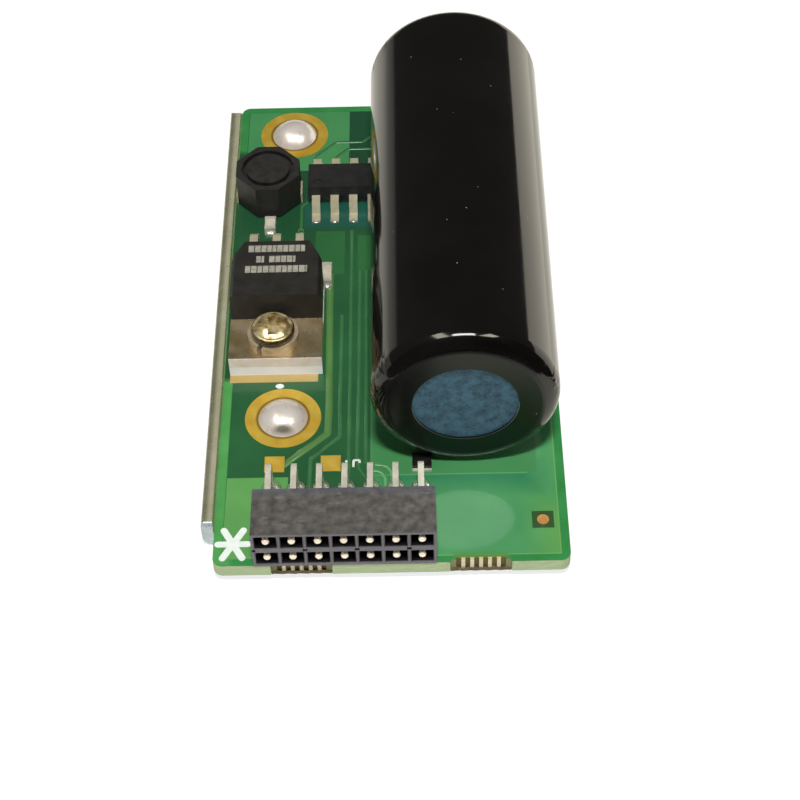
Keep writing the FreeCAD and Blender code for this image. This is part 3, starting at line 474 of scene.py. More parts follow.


# circuit board: solder mask with copper areas under it, some softer areas of painted shade and painted
# reflection, laminate on its cut edges

boardSet = {
    "bare": ((35, 86, 52), (44, 100, 59)), "bareScale": 160, "fieldScale": 120,
    "copperSoft": 0.05,  # sharper edges than this are copper that lifts the mask
    "fields": [  # left, front, right and rear in millimetres on the board, softness of the edge, two tones
        # painted shade: a dark soft patch at the rear left, by the rail and the inductor
        ((-9, 46, 20, 80), 6, ((24, 66, 44), (32, 78, 52))),
        ((0.95, 0.8, 15.6, 8.2), 0.03, ((88, 150, 82), (104, 166, 96))),
        ((0.95, 0.8, 7.2, 10.95), 0.03, ((88, 150, 82), (104, 166, 96))),
        ((15.6, 0.8, 34.5, 66.9), 0.03, ((68, 140, 88), (82, 156, 100))),
        # painted reflection: yellower towards the board's front right corner
        ((32.4, -2, 38.5, 7), 1.8, ((84, 148, 78), (100, 162, 88))),
        # painted shade: darker and bluer just in front of the cell's foot
        ((17, 9.2, 32.4, 12), 1.3, ((50, 122, 82), (60, 134, 92))),
        # the pour under the cell behind an edge line at its front, darker partly as painted shade of the cell
        ((15.7, 11.1, 32.6, 66), 0.1, ((61, 128, 77), (72, 140, 87))),
        ((9.3, 39.6, 12.65, 46.4), 0.03, ((40, 96, 54), (50, 110, 62))),
        ((14.1, 40, 15.6, 45.7), 0.03, ((40, 96, 54), (50, 110, 62))),
        ((7.9, 47, 15.6, 51), 0.3, ((26, 80, 68), (36, 92, 78))),
        ((0.95, 56.6, 13, 66.9), 0.03, ((60, 130, 78), (74, 146, 90))),
        ((34.42, 0.8, 34.55, 66.9), 0.05, ((112, 166, 92), (124, 176, 104))),
        ((15.6, 0.74, 34.5, 0.88), 0.05, ((112, 166, 92), (124, 176, 104))),
        ((15.6, 10.95, 31.6, 11.05), 0.06, ((92, 158, 104), (104, 168, 114))),
    ],
    "margin": ((46, 128, 66), (58, 142, 78)), "marginScale": 300, "marginSoft": 0.05,
    "marginWidth": 0.9, "frontWidth": 0.8,
    "sideMargins": [((-1, 0, 1.6, 24.2), 0.4, ((72, 148, 76), (88, 164, 92))),
                    # painted shade: the left margin dark towards the rear
                    ((-1, 24.2, 1.6, 60), 0.4, ((30, 76, 46), (38, 88, 54)))],
    "window": (52, 84, 46), "windowArea": (31.78, 3.97, 33.96, 6.07),
    "notches": [(5.75, 11.85), (23.48, 29.58)], "notchFront": -0.5, "notchRear": 1.2,
    # on the top face: inset at the sides, depth, softness and tone
    "notchTop": [(0.4, 1, 0.3, (80, 136, 66)), (0.5, 0.58, 0.07, (108, 104, 54))],
    # in the cut: inset at the sides, start and tone; the last, darker tone deep in the notches is painted
    # shade in their hollows
    "notchCut": [(-0.2, 0.05, (126, 130, 90)), (0.65, 0.05, (212, 204, 172)), (0, 0.34, (102, 90, 56))],
    "finger": (206, 198, 142), "fingers": 5, "fingerPitch": 0.88, "fingerHalf": 0.19, "fingerDepth": 0.54,
    "fingerSoft": 0.06,
    "laminate": ((158, 176, 136), (176, 188, 150)), "layerScale": 900, "layerStretch": (1, 1, 9),
    "layerEdge": (0.35, 0.65),
    "filmArea": (1, 22.4, 13, 24.9), "filmSoft": 1.8, "filmShare": 0.5,  # dull flux before the land
    "weave": 0.00062, "weaveShare": 0.012, "skin": (0.06, 0.03),
    "rough": (0.1, 0.17), "roughScale": 500, "dullRough": 0.75, "coat": 0.6, "coatRough": 0.05,
    "grain": (1400, 5), "stepDepth": 0.000012,
}


def paintNotches(net, look, color):  # mask chipped off over the broken fingers
    half, front = look["fingerHalf"], look["notchFront"]
    for left, right in look["notches"]:
        for inset, depth, soft, tone in look["notchTop"]:
            area = (left + inset, front, right - inset, depth)
            color = blend(net, areaOnBoard(net, area, soft), color, tone)
        for count in range(look["fingers"]):
            middle = (left + right) / 2 + (count - (look["fingers"] - 1) / 2) * look["fingerPitch"]
            area = (middle - half, front, middle + half, look["fingerDepth"])
            color = blend(net, areaOnBoard(net, area, look["fingerSoft"]), color, look["finger"])
    return color


def paintCuts(net, look):  # layered laminate, brownish in the break-off notches, where the darker tone deeper in is painted shade
    layers = ramp(net, mottle(net, look["layerScale"], look["layerStretch"]), *look["layerEdge"])
    cut = blend(net, layers, *look["laminate"])
    for left, right in look["notches"]:
        for inset, start, tone in look["notchCut"]:
            area = (left + inset, start, right - inset, look["notchRear"])
            cut = blend(net, areaOnBoard(net, area), cut, tone)
    return cut


def paintBoard(net, look):
    width, depth = (boardHigh.x - boardLow.x) / mm, (boardHigh.y - boardLow.y) / mm
    color, copper = toneOf(net, look, "bare"), 0
    for area, soft, tones in look["fields"]:
        mask = areaOnBoard(net, area, soft)
        color = blend(net, mask, color, twoTone(net, tones, look["fieldScale"]))
        if soft < look["copperSoft"]:
            copper = calc(net, "MAXIMUM", copper, mask)
    margin = toneOf(net, look, "margin")
    for area, soft, tones in look["sideMargins"]:
        side = twoTone(net, tones, look["marginScale"])
        margin = blend(net, areaOnBoard(net, area, soft), margin, side)
    rim = look["marginWidth"]
    inner = areaOnBoard(net, (rim, look["frontWidth"], width - rim, depth - rim), look["marginSoft"])
    window = areaOnBoard(net, look["windowArea"])
    color = blend(net, window, blend(net, inner, margin, color), look["window"])
    color = paintNotches(net, look, color)
    turns = math.tau / look["weave"]  # the glass cloth shows faintly through the mask
    waves = [calc(net, "SINE", times(net, along(net, axis), turns)) for axis in (0, 1)]
    cloth = times(net, times(net, *waves), look["weaveShare"])
    color = vector(net, "MULTIPLY", color, calc(net, "ADD", cloth, 1))
    height = along(net, 2)
    deep, thin = (skin * mm for skin in look["skin"])
    faces = calc(net, "MAXIMUM", ramp(net, height, boardHigh.z - deep, boardHigh.z - thin),
                    ramp(net, height, boardLow.z + deep, boardLow.z + thin))
    film = times(net, areaOnBoard(net, look["filmArea"], look["filmSoft"]), look["filmShare"])
    coat = times(net, times(net, faces, inverse(net, film)), look["coat"])
    return {"color": blend(net, faces, paintCuts(net, look), color),
            "height": calc(net, "SUBTRACT", times(net, copper, inner), window),
            "dull": calc(net, "MAXIMUM", inverse(net, faces), film), "links": {"Coat Weight": coat}}


# rail: worn sheet metal, with a painted highlight as a paler band along the middle of its top and a painted
# bluish reflection on its bent front end

railSet = {
    "tone": ((130, 129, 106), (152, 151, 128)), "toneScale": 320,
    # middle: painted highlight along the top; front: painted bluish reflection on the bent end
    "middle": ((184, 183, 152), (200, 198, 172)), "middleScale": 320, "middlePlace": 0.95,
    "middleBand": (0.5, 0.15),
    "front": ((160, 174, 180), (190, 202, 206)), "frontScale": 900, "frontBand": (0.5, 0.3),
    "rough": (0.22, 0.36), "metal": 0.4, "coat": 0.4, "coatRough": 0.08, "grain": (1800, 3),
    "stretch": (1, 0.12, 1),
}


def paintRail(net, look):
    low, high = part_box("side_rail")
    outer, inner = (half * mm for half in look["middleBand"])
    # painted highlight: a paler band along the middle of the top
    middle = ramp(net, away(net, 0, low.x + look["middlePlace"] * mm), outer, inner)
    color = blend(net, middle, toneOf(net, look), toneOf(net, look, "middle"))
    # painted reflection: a bluish tone on the bent front end
    front = frontBand(net, low, look["frontBand"])
    return {"color": blend(net, front, color, toneOf(net, look, "front"))}


# gold lands, with painted shade as a dark ring round the foot of each rivet

goldSet = {
    "tone": ((222, 178, 58), (236, 204, 90)), "toneScale": 500,
    # painted shade round the foot of each rivet
    "footShade": (116, 84, 26), "footShadeWidth": 0.24, "footShadeSoft": 0.035, "footShadeShare": 0.8,
    "rough": (0.4, 0.55), "metal": 0.65, "grain": (3000, 3),
}


def paintGold(net, look):
    color = toneOf(net, look)
    for node in ("front_rivet", "rear_rivet"):
        low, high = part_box(node)
        radius = (high.x - low.x) / 2 + look["footShadeWidth"] * mm
        # painted shade where each rivet meets the land
        footShade = spotAt(net, (low + high) / 2, radius, radius, look["footShadeSoft"])
        color = blend(net, times(net, footShade, look["footShadeShare"]), color, look["footShade"])
    return {"color": color}


# screw: mottled yellow plating, with painted shade darkening the rim of its head

screwSet = {
    "tone": ((136, 106, 58), (248, 234, 184)), "toneScale": 1150,
    # rim: painted shade round the head
    "rim": ((40, 35, 15), (72, 62, 31)), "rimScale": 900, "rimPlace": 2.14, "rimSoft": 0.05, "rimShare": 0.93,
    "rough": (0.14, 0.28), "metal": 0.55, "coat": 0.5, "coatRough": 0.08, "grain": (1800, 10),
}


def paintScrew(net, look):
    low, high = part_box("tab_screw")
    radius = look["rimPlace"] * mm
    head = spotAt(net, (low + high) / 2, radius, radius, look["rimSoft"])
    # painted shade on the rim of the head
    rim = times(net, inverse(net, head), look["rimShare"])
    return {"color": blend(net, rim, toneOf(net, look, amount=1), toneOf(net, look, "rim"))}


# socket plastic: mottled and scuffed, with a painted sheen making the fine ribs of its front face paler, and
# painted shade making the inside of its mouths dark

socketSet = {
    "tone": ((64, 62, 62), (102, 99, 96)), "toneScale": 1150,
    "rear": (86, 88, 106), "rearDepth": 1.3, "rearShare": 0.45,
    "scuff": (122, 120, 122), "scuffScale": 820, "scuffStretch": (0.6, 1.6, 1), "scuffEdge": (0.64, 0.72),
    "scuffShare": 0.45,
    # rib: painted sheen on the front face; mouth: painted shade inside the mouths
    "rib": (98, 95, 105), "faceBand": (0.06, 0.03), "mouth": (12, 11, 15), "skin": 0.05, "skinSoft": 0.02,
    "rough": (0.38, 0.52), "grain": (4200, 16),
}


def paintSocket(net, look):
    low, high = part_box("socket_housing")
    rear = ramp(net, along(net, 1), high.y - look["rearDepth"] * mm, high.y, 0, look["rearShare"])
    color = blend(net, rear, toneOf(net, look), look["rear"])
    fleck = mottle(net, look["scuffScale"], look["scuffStretch"])
    fleck = ramp(net, fleck, *look["scuffEdge"], 0, look["scuffShare"])
    color = blend(net, fleck, color, look["scuff"])
    # painted sheen: the front face paler
    color = blend(net, frontBand(net, low, look["faceBand"]), color, look["rib"])
    # painted shade: the inside of the mouths nearly black
    skin = look["skin"] * mm
    middle, half = (low + high) / 2 + Vector((0, skin, 0)), (high - low) / 2 - Vector((skin, skin, skin))
    inside = effect(net, areaMask, Centre=middle, Half=half, Soft=look["skinSoft"] * mm)[0]
    height = along(net, 2)
    core = times(net, ramp(net, height, low.z, low.z + skin), ramp(net, height, high.z, high.z - skin))
    return {"color": blend(net, times(net, inside, core), color, look["mouth"])}


# contacts: gilded where they mate, tinned on their tails

contactSet = {
    "gold": ((238, 216, 170), (250, 236, 206)), "goldScale": 1500,
    "tin": ((212, 208, 190), (238, 234, 222)), "tinScale": 900, "tailStart": 1.5, "tailBlend": 0.3,
    "rough": (0.22, 0.36), "metal": 0.35, "grain": (6000, 5),
}


def paintContact(net, look):
    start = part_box("socket_housing")[1].y - look["tailStart"] * mm
    tail = ramp(net, along(net, 1), start, start + look["tailBlend"] * mm)
    return {"color": blend(net, tail, toneOf(net, look, "gold"), toneOf(net, look, "tin"))}


# rivets: soft bright metal, with a painted dark reflection low on the front one's dome

rivetSet = {
    "tone": ((226, 216, 208), (240, 232, 228)), "toneScale": 700,
    # painted dark reflection low on the front rivet's dome
    "darkReflection": (92, 88, 66), "darkReflectionPlace": (0.08, -2.05, 0), "darkReflectionHalf": (0.95, 0.36), "darkReflectionSoft": 0.45,
    "darkReflectionShare": 0.85,
    "rough": (0.24, 0.36), "metal": 0.35, "coat": 0.6, "coatRough": 0.06, "grain": (1500, 3),
}


def paintRivet(net, look):
    low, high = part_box("front_rivet")
    wide, deep = (half * mm for half in look["darkReflectionHalf"])
    middle = (low + high) / 2 + Vector(look["darkReflectionPlace"]) * mm
    # painted reflection: a dark patch low on the dome
    darkReflection = times(net, spotAt(net, middle, wide, deep, look["darkReflectionSoft"]), look["darkReflectionShare"])
    return {"color": blend(net, darkReflection, toneOf(net, look), look["darkReflection"])}


# transistor tab: drawn metal, its front face pale and less metallic as a painted reflection of the pale floor

tabSet = {
    "tone": ((182, 160, 112), (216, 200, 170)), "toneScale": 420,
    # edge: painted reflection of the pale floor on the front face
    "edge": ((228, 214, 202), (240, 230, 226)), "edgeScale": 900, "edgeBand": (0.1, 0.05), "edgeMetal": 0.15,
    "rough": (0.24, 0.4), "dullRough": 0.5, "metal": 0.88, "grain": (2200, 2), "stretch": (0.08, 1, 1),
}


def paintTab(net, look):
    # painted reflection: the front face pale and less metallic
    edge = frontBand(net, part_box("transistor_tab")[0], look["edgeBand"])
    return {"color": blend(net, edge, toneOf(net, look), toneOf(net, look, "edge")), "dull": edge,
            "links": {"Metallic": blendValue(net, edge, look["metal"], look["edgeMetal"])}}


# shrunk sleeve: glossy black film with a little dust, duller on its flat ends, puckered where it rolls over

sleeveSet = {
    "tone": ((9, 8, 8), (15, 14, 13)), "toneScale": 160,
    "end": (3, 3, 4), "endBand": (0.1, 0.05), "dullRough": 0.31,
    "dust": (122, 116, 104), "dustScale": 440, "dustEdge": (0.046, 0.0276),
    "puckerBand": (3.2, 0.9), "rollBand": (0.4, 0.8), "puckerSides": (0.74, 0.9),
    "puckerScale": 520, "puckerStretch": (1, 0.5, 1), "puckerEdge": (0.52, 0.74), "stepDepth": 0.0002,
    "rough": (0.07, 0.13), "roughScale": 260, "grain": (150, 20), "stretch": (1, 0.5, 1),
}


def paintSleeve(net, look):
    low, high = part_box("cell_sleeve")
    middle, half, radius = (low + high) / 2, (high.y - low.y) / 2, (high.x - low.x) / 2
    back, side = away(net, 1, middle.y), away(net, 0, middle.x)

    def toEnd(band):  # 0 at the first depth under an end, 1 at the second
        return ramp(net, back, half - band[0] * mm, half - band[1] * mm)

    ends = toEnd(look["endBand"])
    zone = times(net, toEnd(look["puckerBand"]), toEnd(look["rollBand"]))
    zone = times(net, zone, ramp(net, side, *(radius * share for share in look["puckerSides"])))
    lump = ramp(net, mottle(net, look["puckerScale"], look["puckerStretch"]), *look["puckerEdge"])
    color = blend(net, ends, toneOf(net, look), look["end"])
    speck = made(net, "TexVoronoi", {"Vector": hereIn(net), "Scale": look["dustScale"]})
    color = blend(net, ramp(net, speck, *look["dustEdge"]), color, look["dust"])
    return {"color": color, "height": times(net, lump, zone), "dull": ends}


# paper discs: pressed blue fibres

paperSet = {
    "tone": ((20, 46, 63), (52, 88, 106)), "toneScale": 1150,
    "fibre": (82, 116, 132), "fibreScale": 1900, "fibreWidth": 0.14, "fibreShare": 0.2,
    "bendScale": 700, "bendReach": (0.0012, 0.0012, 0.0012),
    "rough": (0.5, 0.62), "specular": 0.4, "grain": (900, 80),
}


def paintPaper(net, look):
    here = hereIn(net)
    bent = put(net, "TexNoise", {"Vector": here, "Scale": look["bendScale"]}).outputs["Color"]
    moved = vector(net, "ADD", here, vector(net, "MULTIPLY", bent, look["bendReach"]))
    strand = made(net, "TexVoronoi", {"Vector": moved, "Scale": look["fibreScale"]},
                  feature="DISTANCE_TO_EDGE")
    thin = ramp(net, strand, 0, look["fibreWidth"], look["fibreShare"], 0)
    return {"color": blend(net, thin, toneOf(net, look, amount=1), look["fibre"])}


paintedSet = {
    "board_laminate": (boardSet, paintBoard),
    "rail_steel": (railSet, paintRail),
    "gold_plating": (goldSet, paintGold),
    "screw_zinc": (screwSet, paintScrew),
    "socket_plastic": (socketSet, paintSocket),
    "contact_metal": (contactSet, paintContact),
    "rivet_metal": (rivetSet, paintRivet),
    "tab_metal": (tabSet, paintTab),
    "cell_sleeve_black": (sleeveSet, paintSleeve),
    "fibre_paper": (paperSet, paintPaper),
}
for name, (look, paint) in paintedSet.items():
    addFinish(name, look, paint)
print("painted finishes:", len(paintedSet))


# small parts: a moulded or ceramic middle with bare metal at both ends of one axis, or under it

smallSet = {
    "parts": {  # axis, bare depth at its far and its near end, two tones
        "sense_resistor": (2, 0, 0.2, ((14, 12, 11), (26, 24, 23))),
        "side_capacitor": (1, 0.4, 0.4, ((186, 178, 160), (206, 200, 186))),
        "rear_capacitor": (1, 0.4, 0.4, ((186, 178, 160), (206, 200, 186))),
    },
    "cap": ((214, 210, 200), (234, 230, 222)), "capScale": 1500, "capMetal": 0.5,
    "rough": (0.3, 0.45), "grain": (6000, 6),
}


def paintSmall(net, look):
    low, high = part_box(look["node"])
    axis, far, close, tones = look["parts"][look["node"]]
    place = along(net, axis)
    after = calc(net, "GREATER_THAN", place, low[axis] + close * mm)
    body = times(net, after, calc(net, "LESS_THAN", place, high[axis] - far * mm + micron))
    return {"color": blend(net, body, toneOf(net, look, "cap"), twoTone(net, tones, look["capScale"])),
            "links": {"Metallic": times(net, inverse(net, body), look["capMetal"])}}


for name, part in cadNodes.items():
    finish = "land_gilt" if name == "transistor_land" else slotOf[name]
    if name in smallSet["parts"]:
        finish = name + "_finish"
        addFinish(finish, {**smallSet, "node": name}, paintSmall)
    if not part.data.materials:
        part.data.materials.append(finishes[finish])
    for slot in part.material_slots:
        slot.material = finishes[finish]
print("solids dressed:", len(cadNodes))


# pieces made by node trees

def startTree(name, **inputs):  # each kind of socket with its labels
    net = bpy.data.node_groups.new(name, "GeometryNodeTree")
    for kind, labels in {"Geometry": ["Geometry"], **inputs, "Material": ["Finish"]}.items():
        for label in labels:
            addSocket(net, label, kind)
    addSocket(net, "Geometry", "Geometry", "OUTPUT")
    return net, net.nodes.new("NodeGroupInput").outputs


def onPoints(net, given, piece, **inputs):  # the piece at each point of the seed
    return made(net, "GeometryNodeInstanceOnPoints", {
        "Points": given["Geometry"], "Instance": piece, **inputs})


def endTree(net, given, geometry):  # plain geometry with its finish
    real = made(net, "GeometryNodeRealizeInstances", {0: geometry})
    done = made(net, "GeometryNodeSetMaterial", {"Geometry": real, "Material": given["Finish"]})
    net.links.new(done, net.nodes.new("NodeGroupOutput").inputs[0])
    return net


def seedMesh(name, runs, sizes=()):  # points joined along each run, with a size at each point if given
    points, edges = [], []
    for run in runs:
        edges += [(len(points) + i, len(points) + i + 1) for i in range(len(run) - 1)]
        points += [tuple(point) for point in run]
    mesh = bpy.data.meshes.new(name)
    mesh.from_pydata(points, edges, [])
    if sizes:
        held = mesh.attributes.new("size", "FLOAT_VECTOR", "POINT")
        for item, size in zip(held.data, sizes):
            item.vector = size
    return mesh


def keepPiece(name, mesh):
    piece = bpy.data.objects.new(name, mesh)
    link(piece)
    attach(piece, "root")
    print("piece", name, len(mesh.polygons), "faces")


def growPiece(name, seed, net, finish, slot=None, **values):  # the plain mesh that a tree makes of a seed
    maker = bpy.data.objects.new(name + "Seed", seed)
    link(maker)
    modifier = maker.modifiers.new("grow", "NODES")
    modifier.node_group = net
    values["Finish"] = finishes[finish]
    for item in net.interface.items_tree:
        if item.item_type == "SOCKET" and item.in_out == "INPUT" and item.name in values:
            modifier[item.identifier] = values[item.name]
    graph = bpy.context.evaluated_depsgraph_get()
    mesh = bpy.data.meshes.new_from_object(maker.evaluated_get(graph))
    maker.modifiers.remove(modifier)
    bpy.data.objects.remove(maker)
    mesh.name = name
    keepPiece(name, mesh)


# solder: a hollow-sided cone round each tail, above and below the board

solderSet = {
    "sides": 20, "rings": 7, "hollow": 2.2, "spread": 0.07,
    "cones": {  # start of the nodes' names, thickness of a tail, foot, neck, height, length to width, seed
        "tailCones": ("contact_", 0.5, 0.95, 0.36, 1.15, 1, 3),
        "tailConesBelow": ("contact_", 0.5, 0.84, 0.36, 0.95, 1, 8),
        "leadCones": ("transistor_lead", 0.5, 1.05, 0.5, 0.8, 1, 5),
        "leadConesBelow": ("transistor_lead", 0.5, 1.05, 0.5, 0.95, 1, 12),
        "strapCones": ("cell_strap", 0.3, 0.75, 0.3, 0.6, 2.4, 4),
        "strapConesBelow": ("cell_strap", 0.3, 0.75, 0.3, 0.95, 2.4, 9),
    },
}


def makeSolderTree(look):
    net, given = startTree("solderCones", Float=["Foot", "Neck", "Height", "Spread"],
                           Vector=["Longer", "Turn"], Int=["Seed"])
    foot, neck, tall = given["Foot"], given["Neck"], given["Height"]
    cone = made(net, "GeometryNodeMeshCone", {
        "Vertices": look["sides"], "Side Segments": look["rings"], "Radius Top": neck,
        "Radius Bottom": foot, "Depth": tall})
    base = split(net, put(net, "GeometryNodeBoundBox", {0: cone}).outputs["Min"])[2]
    across, back, up = split(net, made(net, "GeometryNodeInputPosition"))
    rise = calc(net, "SUBTRACT", up, base)
    left = inverse(net, calc(net, "DIVIDE", rise, tall))
    wide = calc(net, "SUBTRACT", foot, neck)
    straight = calc(net, "ADD", neck, times(net, wide, left))
    hollow = calc(net, "ADD", neck, times(net, wide, calc(net, "POWER", left, look["hollow"])))
    narrow = calc(net, "DIVIDE", hollow, straight)
    moved = made(net, "CombineXYZ", {0: times(net, across, narrow), 1: times(net, back, narrow), 2: rise})
    shaped = made(net, "GeometryNodeSetPosition", {"Geometry": cone, "Position": moved})
    smooth = made(net, "GeometryNodeSetShadeSmooth", {"Geometry": shaped})
    less, more = inverse(net, given["Spread"]), calc(net, "ADD", 1.0, given["Spread"])
    size = put(net, "FunctionNodeRandomValue", {2: less, 3: more, "Seed": given["Seed"]}).outputs[1]
    scale = made(net, "VectorMath", {0: given["Longer"], "Scale": size}, operation="SCALE")
    return endTree(net, given, onPoints(net, given, smooth, Rotation=given["Turn"], Scale=scale))


def makeSolder(look):
    net = makeSolderTree(look)
    for name, (start, thick, foot, neck, tall, longer, seed) in look["cones"].items():
        below = name.endswith("Below")
        level = boardLow.z if below else boardHigh.z
        boxes = [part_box(node) for node in cadNodes if node.startswith(start)]
        # where each bent tail goes through the board
        points = [[((low.x + high.x) / 2, high.y - thick / 2 * mm, level)] for low, high in boxes]
        growPiece(name, seedMesh(name, points), net, "solder_joint", "tinned_lead",
                  Foot=foot * mm, Neck=neck * mm, Height=tall * mm, Spread=look["spread"], Seed=seed,
                  Longer=(longer, 1, 1), Turn=(math.pi if below else 0.0, 0.0, 0.0))


makeSolder(solderSet)


# torn resin in the break-off notches, a dark strip that is partly painted shade under the board's edge: its
# points' step, place and jags, then the start and mix of each edge

burrSet = {"step": 0.302, "back": 0.25, "jag": 0.02, "jags": 4, "points": 21,
           "edges": [(5.78, 7), (23.51, 5)]}


def burrPath(look, left, mix):
    return [(left + look["step"] * i, look["back"] + look["jag"] * (i * mix % look["jags"]))
            for i in range(look["points"])]


# copper runs that stand up a little under the mask, and other strips along a path

runSet = {
    "rise": 0.05, "bend": 0.5, "bendSteps": 4, "slot": "board_laminate",
    "groups": {
        "wideRun": {"width": 0.78, "finish": "run_wide", "paths": [
            [(11.06, 39.7), (11.14, 29), (11.25, 20.7), (11.15, 16.6), (7.4, 13.2), (6.6, 12.4)]]},
        "middleRun": {"width": 0.44, "finish": "run_narrow", "paths": [
            [(12.45, 33.4), (12.38, 20.65), (12.46, 16.15), (9.56, 13.36), (9.42, 12.9), (9.38, 7.5)]]},
        "narrowRuns": {"width": 0.4, "finish": "run_narrow", "paths": [
            [(13.43, 46.5), (13.43, 37.1), (13.4, 20.6), (13.39, 9.4)],
            [(14.38, 40.1), (14.33, 20.6), (14.22, 13.4), (14.47, 11.9), (15.25, 10.6), (15.73, 9.6)],
            [(15.09, 40.1), (15.16, 20.6), (15.13, 12.6)]]},
        "fineRuns": {"width": 0.3, "finish": "run_pale", "paths": [
            [(16.1, 12.35), (16.7, 12.32), (17.35, 12.08), (17.71, 11.45), (17.8, 10.7), (17.8, 9.6)],
            [(15.9, 11.6), (16.25, 11.57), (16.8, 11.32), (17.12, 10.57), (17.16, 9.6)]]},
        "rearRuns": {"width": 0.36, "finish": "run_narrow", "paths": [
            [(9, 57.4), (9, 59), (11.4, 61.4), (14.6, 61.4), (17.2, 64), (21, 64)],
            [(11.5, 57.4), (11.5, 58.8), (12.9, 60.2), (15.6, 60.2), (18.2, 62.8), (20.2, 62.8)],
            [(7.6, 46.6), (7.6, 50.6), (8.3, 51.3)],
            [(15.9, 48.4), (15.9, 57), (16.9, 58), (16.9, 61.6)]]},
        "underRuns": {"width": 0.5, "finish": "run_wide", "level": -1.6, "paths": [
            [(18.23, 7), (18.23, 12), (22, 15.8), (22, 58), (24, 60), (24, 63.4)],
            [(20.77, 7), (20.77, 11.2), (24.4, 14.8), (24.4, 56), (26.6, 58.2), (26.6, 63.4)],
            [(15.69, 7), (15.69, 13), (19.6, 16.9), (19.6, 44), (17.4, 46.2), (17.4, 49)],
            [(13.15, 9.6), (13.15, 14.2), (17.2, 18.3), (17.2, 42.4), (15.9, 43.7), (15.9, 48.4)],
            [(28, 9), (28, 40), (31, 43), (31, 61)],
            [(12.45, 33.4), (14, 35), (14, 44.6), (13.43, 45.4), (13.43, 46.5)]]},
        "hookMark": {"width": 0.26, "bend": 0.16, "rise": 0.08, "finish": "silk_ink", "slot": None, "paths": [
            [(14.5, 12.62), (14.5, 13), (13.87, 13), (13.85, 12.1)]]},
        "edgeSeal": {"width": 0.22, "finish": "mask_seal", "rise": 0.3, "level": -0.2, "paths": [
            [(-0.07, 4.7), (-0.07, 67)]]},
        # dark strip: torn resin and painted shade under the notches
        "burrAndShadeStrip": {"width": 0.44, "finish": "burr_resin", "rise": 0.2, "level": -1.48, "paths": [
            burrPath(burrSet, *edge) for edge in burrSet["edges"]]},
    },
}


def makeRunTree(look):
    net, given = startTree("copperRuns", Float=["Width", "Rise", "Bend"])
    path = made(net, "GeometryNodeMeshToCurve", {0: given["Geometry"]})
    soft = made(net, "GeometryNodeFilletCurve", {
        "Curve": path, "Radius": given["Bend"], "Limit Radius": True,
        "Count": look["bendSteps"]}, mode="POLY")
    upright = made(net, "GeometryNodeSetCurveNormal", {"Curve": soft}, mode="Z_UP")
    section = made(net, "GeometryNodeCurvePrimitiveQuadrilateral", {
        "Width": given["Width"], "Height": given["Rise"]})
    strip = made(net, "GeometryNodeCurveToMesh", {
        "Curve": upright, "Profile Curve": section, "Fill Caps": True})
    return endTree(net, given, strip)


def makeRuns(look):
    net = makeRunTree(look)
    for name, group in look["groups"].items():
        group = {"level": 0.0, **look, **group}
        runs = [[onBoard(*spot, group["level"]) for spot in path] for path in group["paths"]]
        growPiece(name, seedMesh(name, runs), net, group["finish"], group["slot"],
                  Width=group["width"] * mm, Rise=group["rise"] * mm, Bend=group["bend"] * mm)


makeRuns(runSet)


# vias: small lipped holes under the mask

viaSet = {
    "spots": [(15.9, 48.4), (16.9, 61.6), (17.4, 49), (7.6, 46.6), (21, 64), (20.2, 62.8), (31, 61),
              (32.6, 22), (32.6, 31.6), (32.6, 41.2), (32.6, 50.8), (32.6, 60.4), (3, 60.4), (3, 64.6),
              (10.6, 64.6)],
    # plugged from above
    "below": [(12.45, 33.4), (13.43, 46.5), (28, 9), (30.4, 8.2), (32.6, 12.4), (3.2, 6.9), (2.4, 9.6)],
    "radius": 0.3, "lip": 0.1, "thick": 0.07, "sides": 20,
}


def makeViaTree(look):
    net, given = startTree("vias", Float=["Radius", "Lip", "Thick"])
    circle = made(net, "GeometryNodeCurvePrimitiveCircle", {
        "Resolution": look["sides"], "Radius": given["Radius"]})
    section = made(net, "GeometryNodeCurvePrimitiveQuadrilateral", {
        "Width": given["Lip"], "Height": given["Thick"]})
    ring = made(net, "GeometryNodeCurveToMesh", {"Curve": circle, "Profile Curve": section})
    return endTree(net, given, onPoints(net, given, ring))


def makeVias(look):
    points = [onBoard(*spot) for spot in look["spots"]]
    lower = [onBoard(*spot) for spot in look["spots"] + look["below"]]
    points += [(point.x, point.y, boardLow.z) for point in lower]
    growPiece("vias", seedMesh("vias", [[point] for point in points]), makeViaTree(look), "run_wide",
              "board_laminate", Radius=look["radius"] * mm, Lip=look["lip"] * mm, Thick=look["thick"] * mm)


makeVias(viaSet)


# blocks on points that carry a size: pillows when rounded, bars when plain

def makeBlockTree(name, edge, level):
    net, given = startTree(name)
    block = made(net, "GeometryNodeMeshCube", {"Size": (edge, edge, edge)})
    if level:
        block = made(net, "GeometryNodeSubdivisionSurface", {"Mesh": block, "Level": level})
        block = made(net, "GeometryNodeSetShadeSmooth", {"Geometry": block})
    size = made(net, "GeometryNodeInputNamedAttribute", {"Name": "size"}, data_type="FLOAT_VECTOR")
    return endTree(net, given, onPoints(net, given, block, Scale=size))


def growBlocks(name, spots, net, finish, slot=None):
    seed = seedMesh(name, [[place] for place, size in spots], [size for place, size in spots])
    growPiece(name, seed, net, finish, slot)


# gilt tips of the contacts, seen in the mouths and near white as a painted highlight, and solder pillows on
# the small feet

pillowSet = {
    "level": 3, "edge": 2, "tipHalf": (0.46, 0.36, 0.46), "tipBack": 0.1, "tipDrop": 0.38, "legBack": 0.7,
    "capFoot": (0.1, 0.5, 0.4), "legFoot": (0.16, 0.95, 0.24),  # room at the sides, half depth, height
}


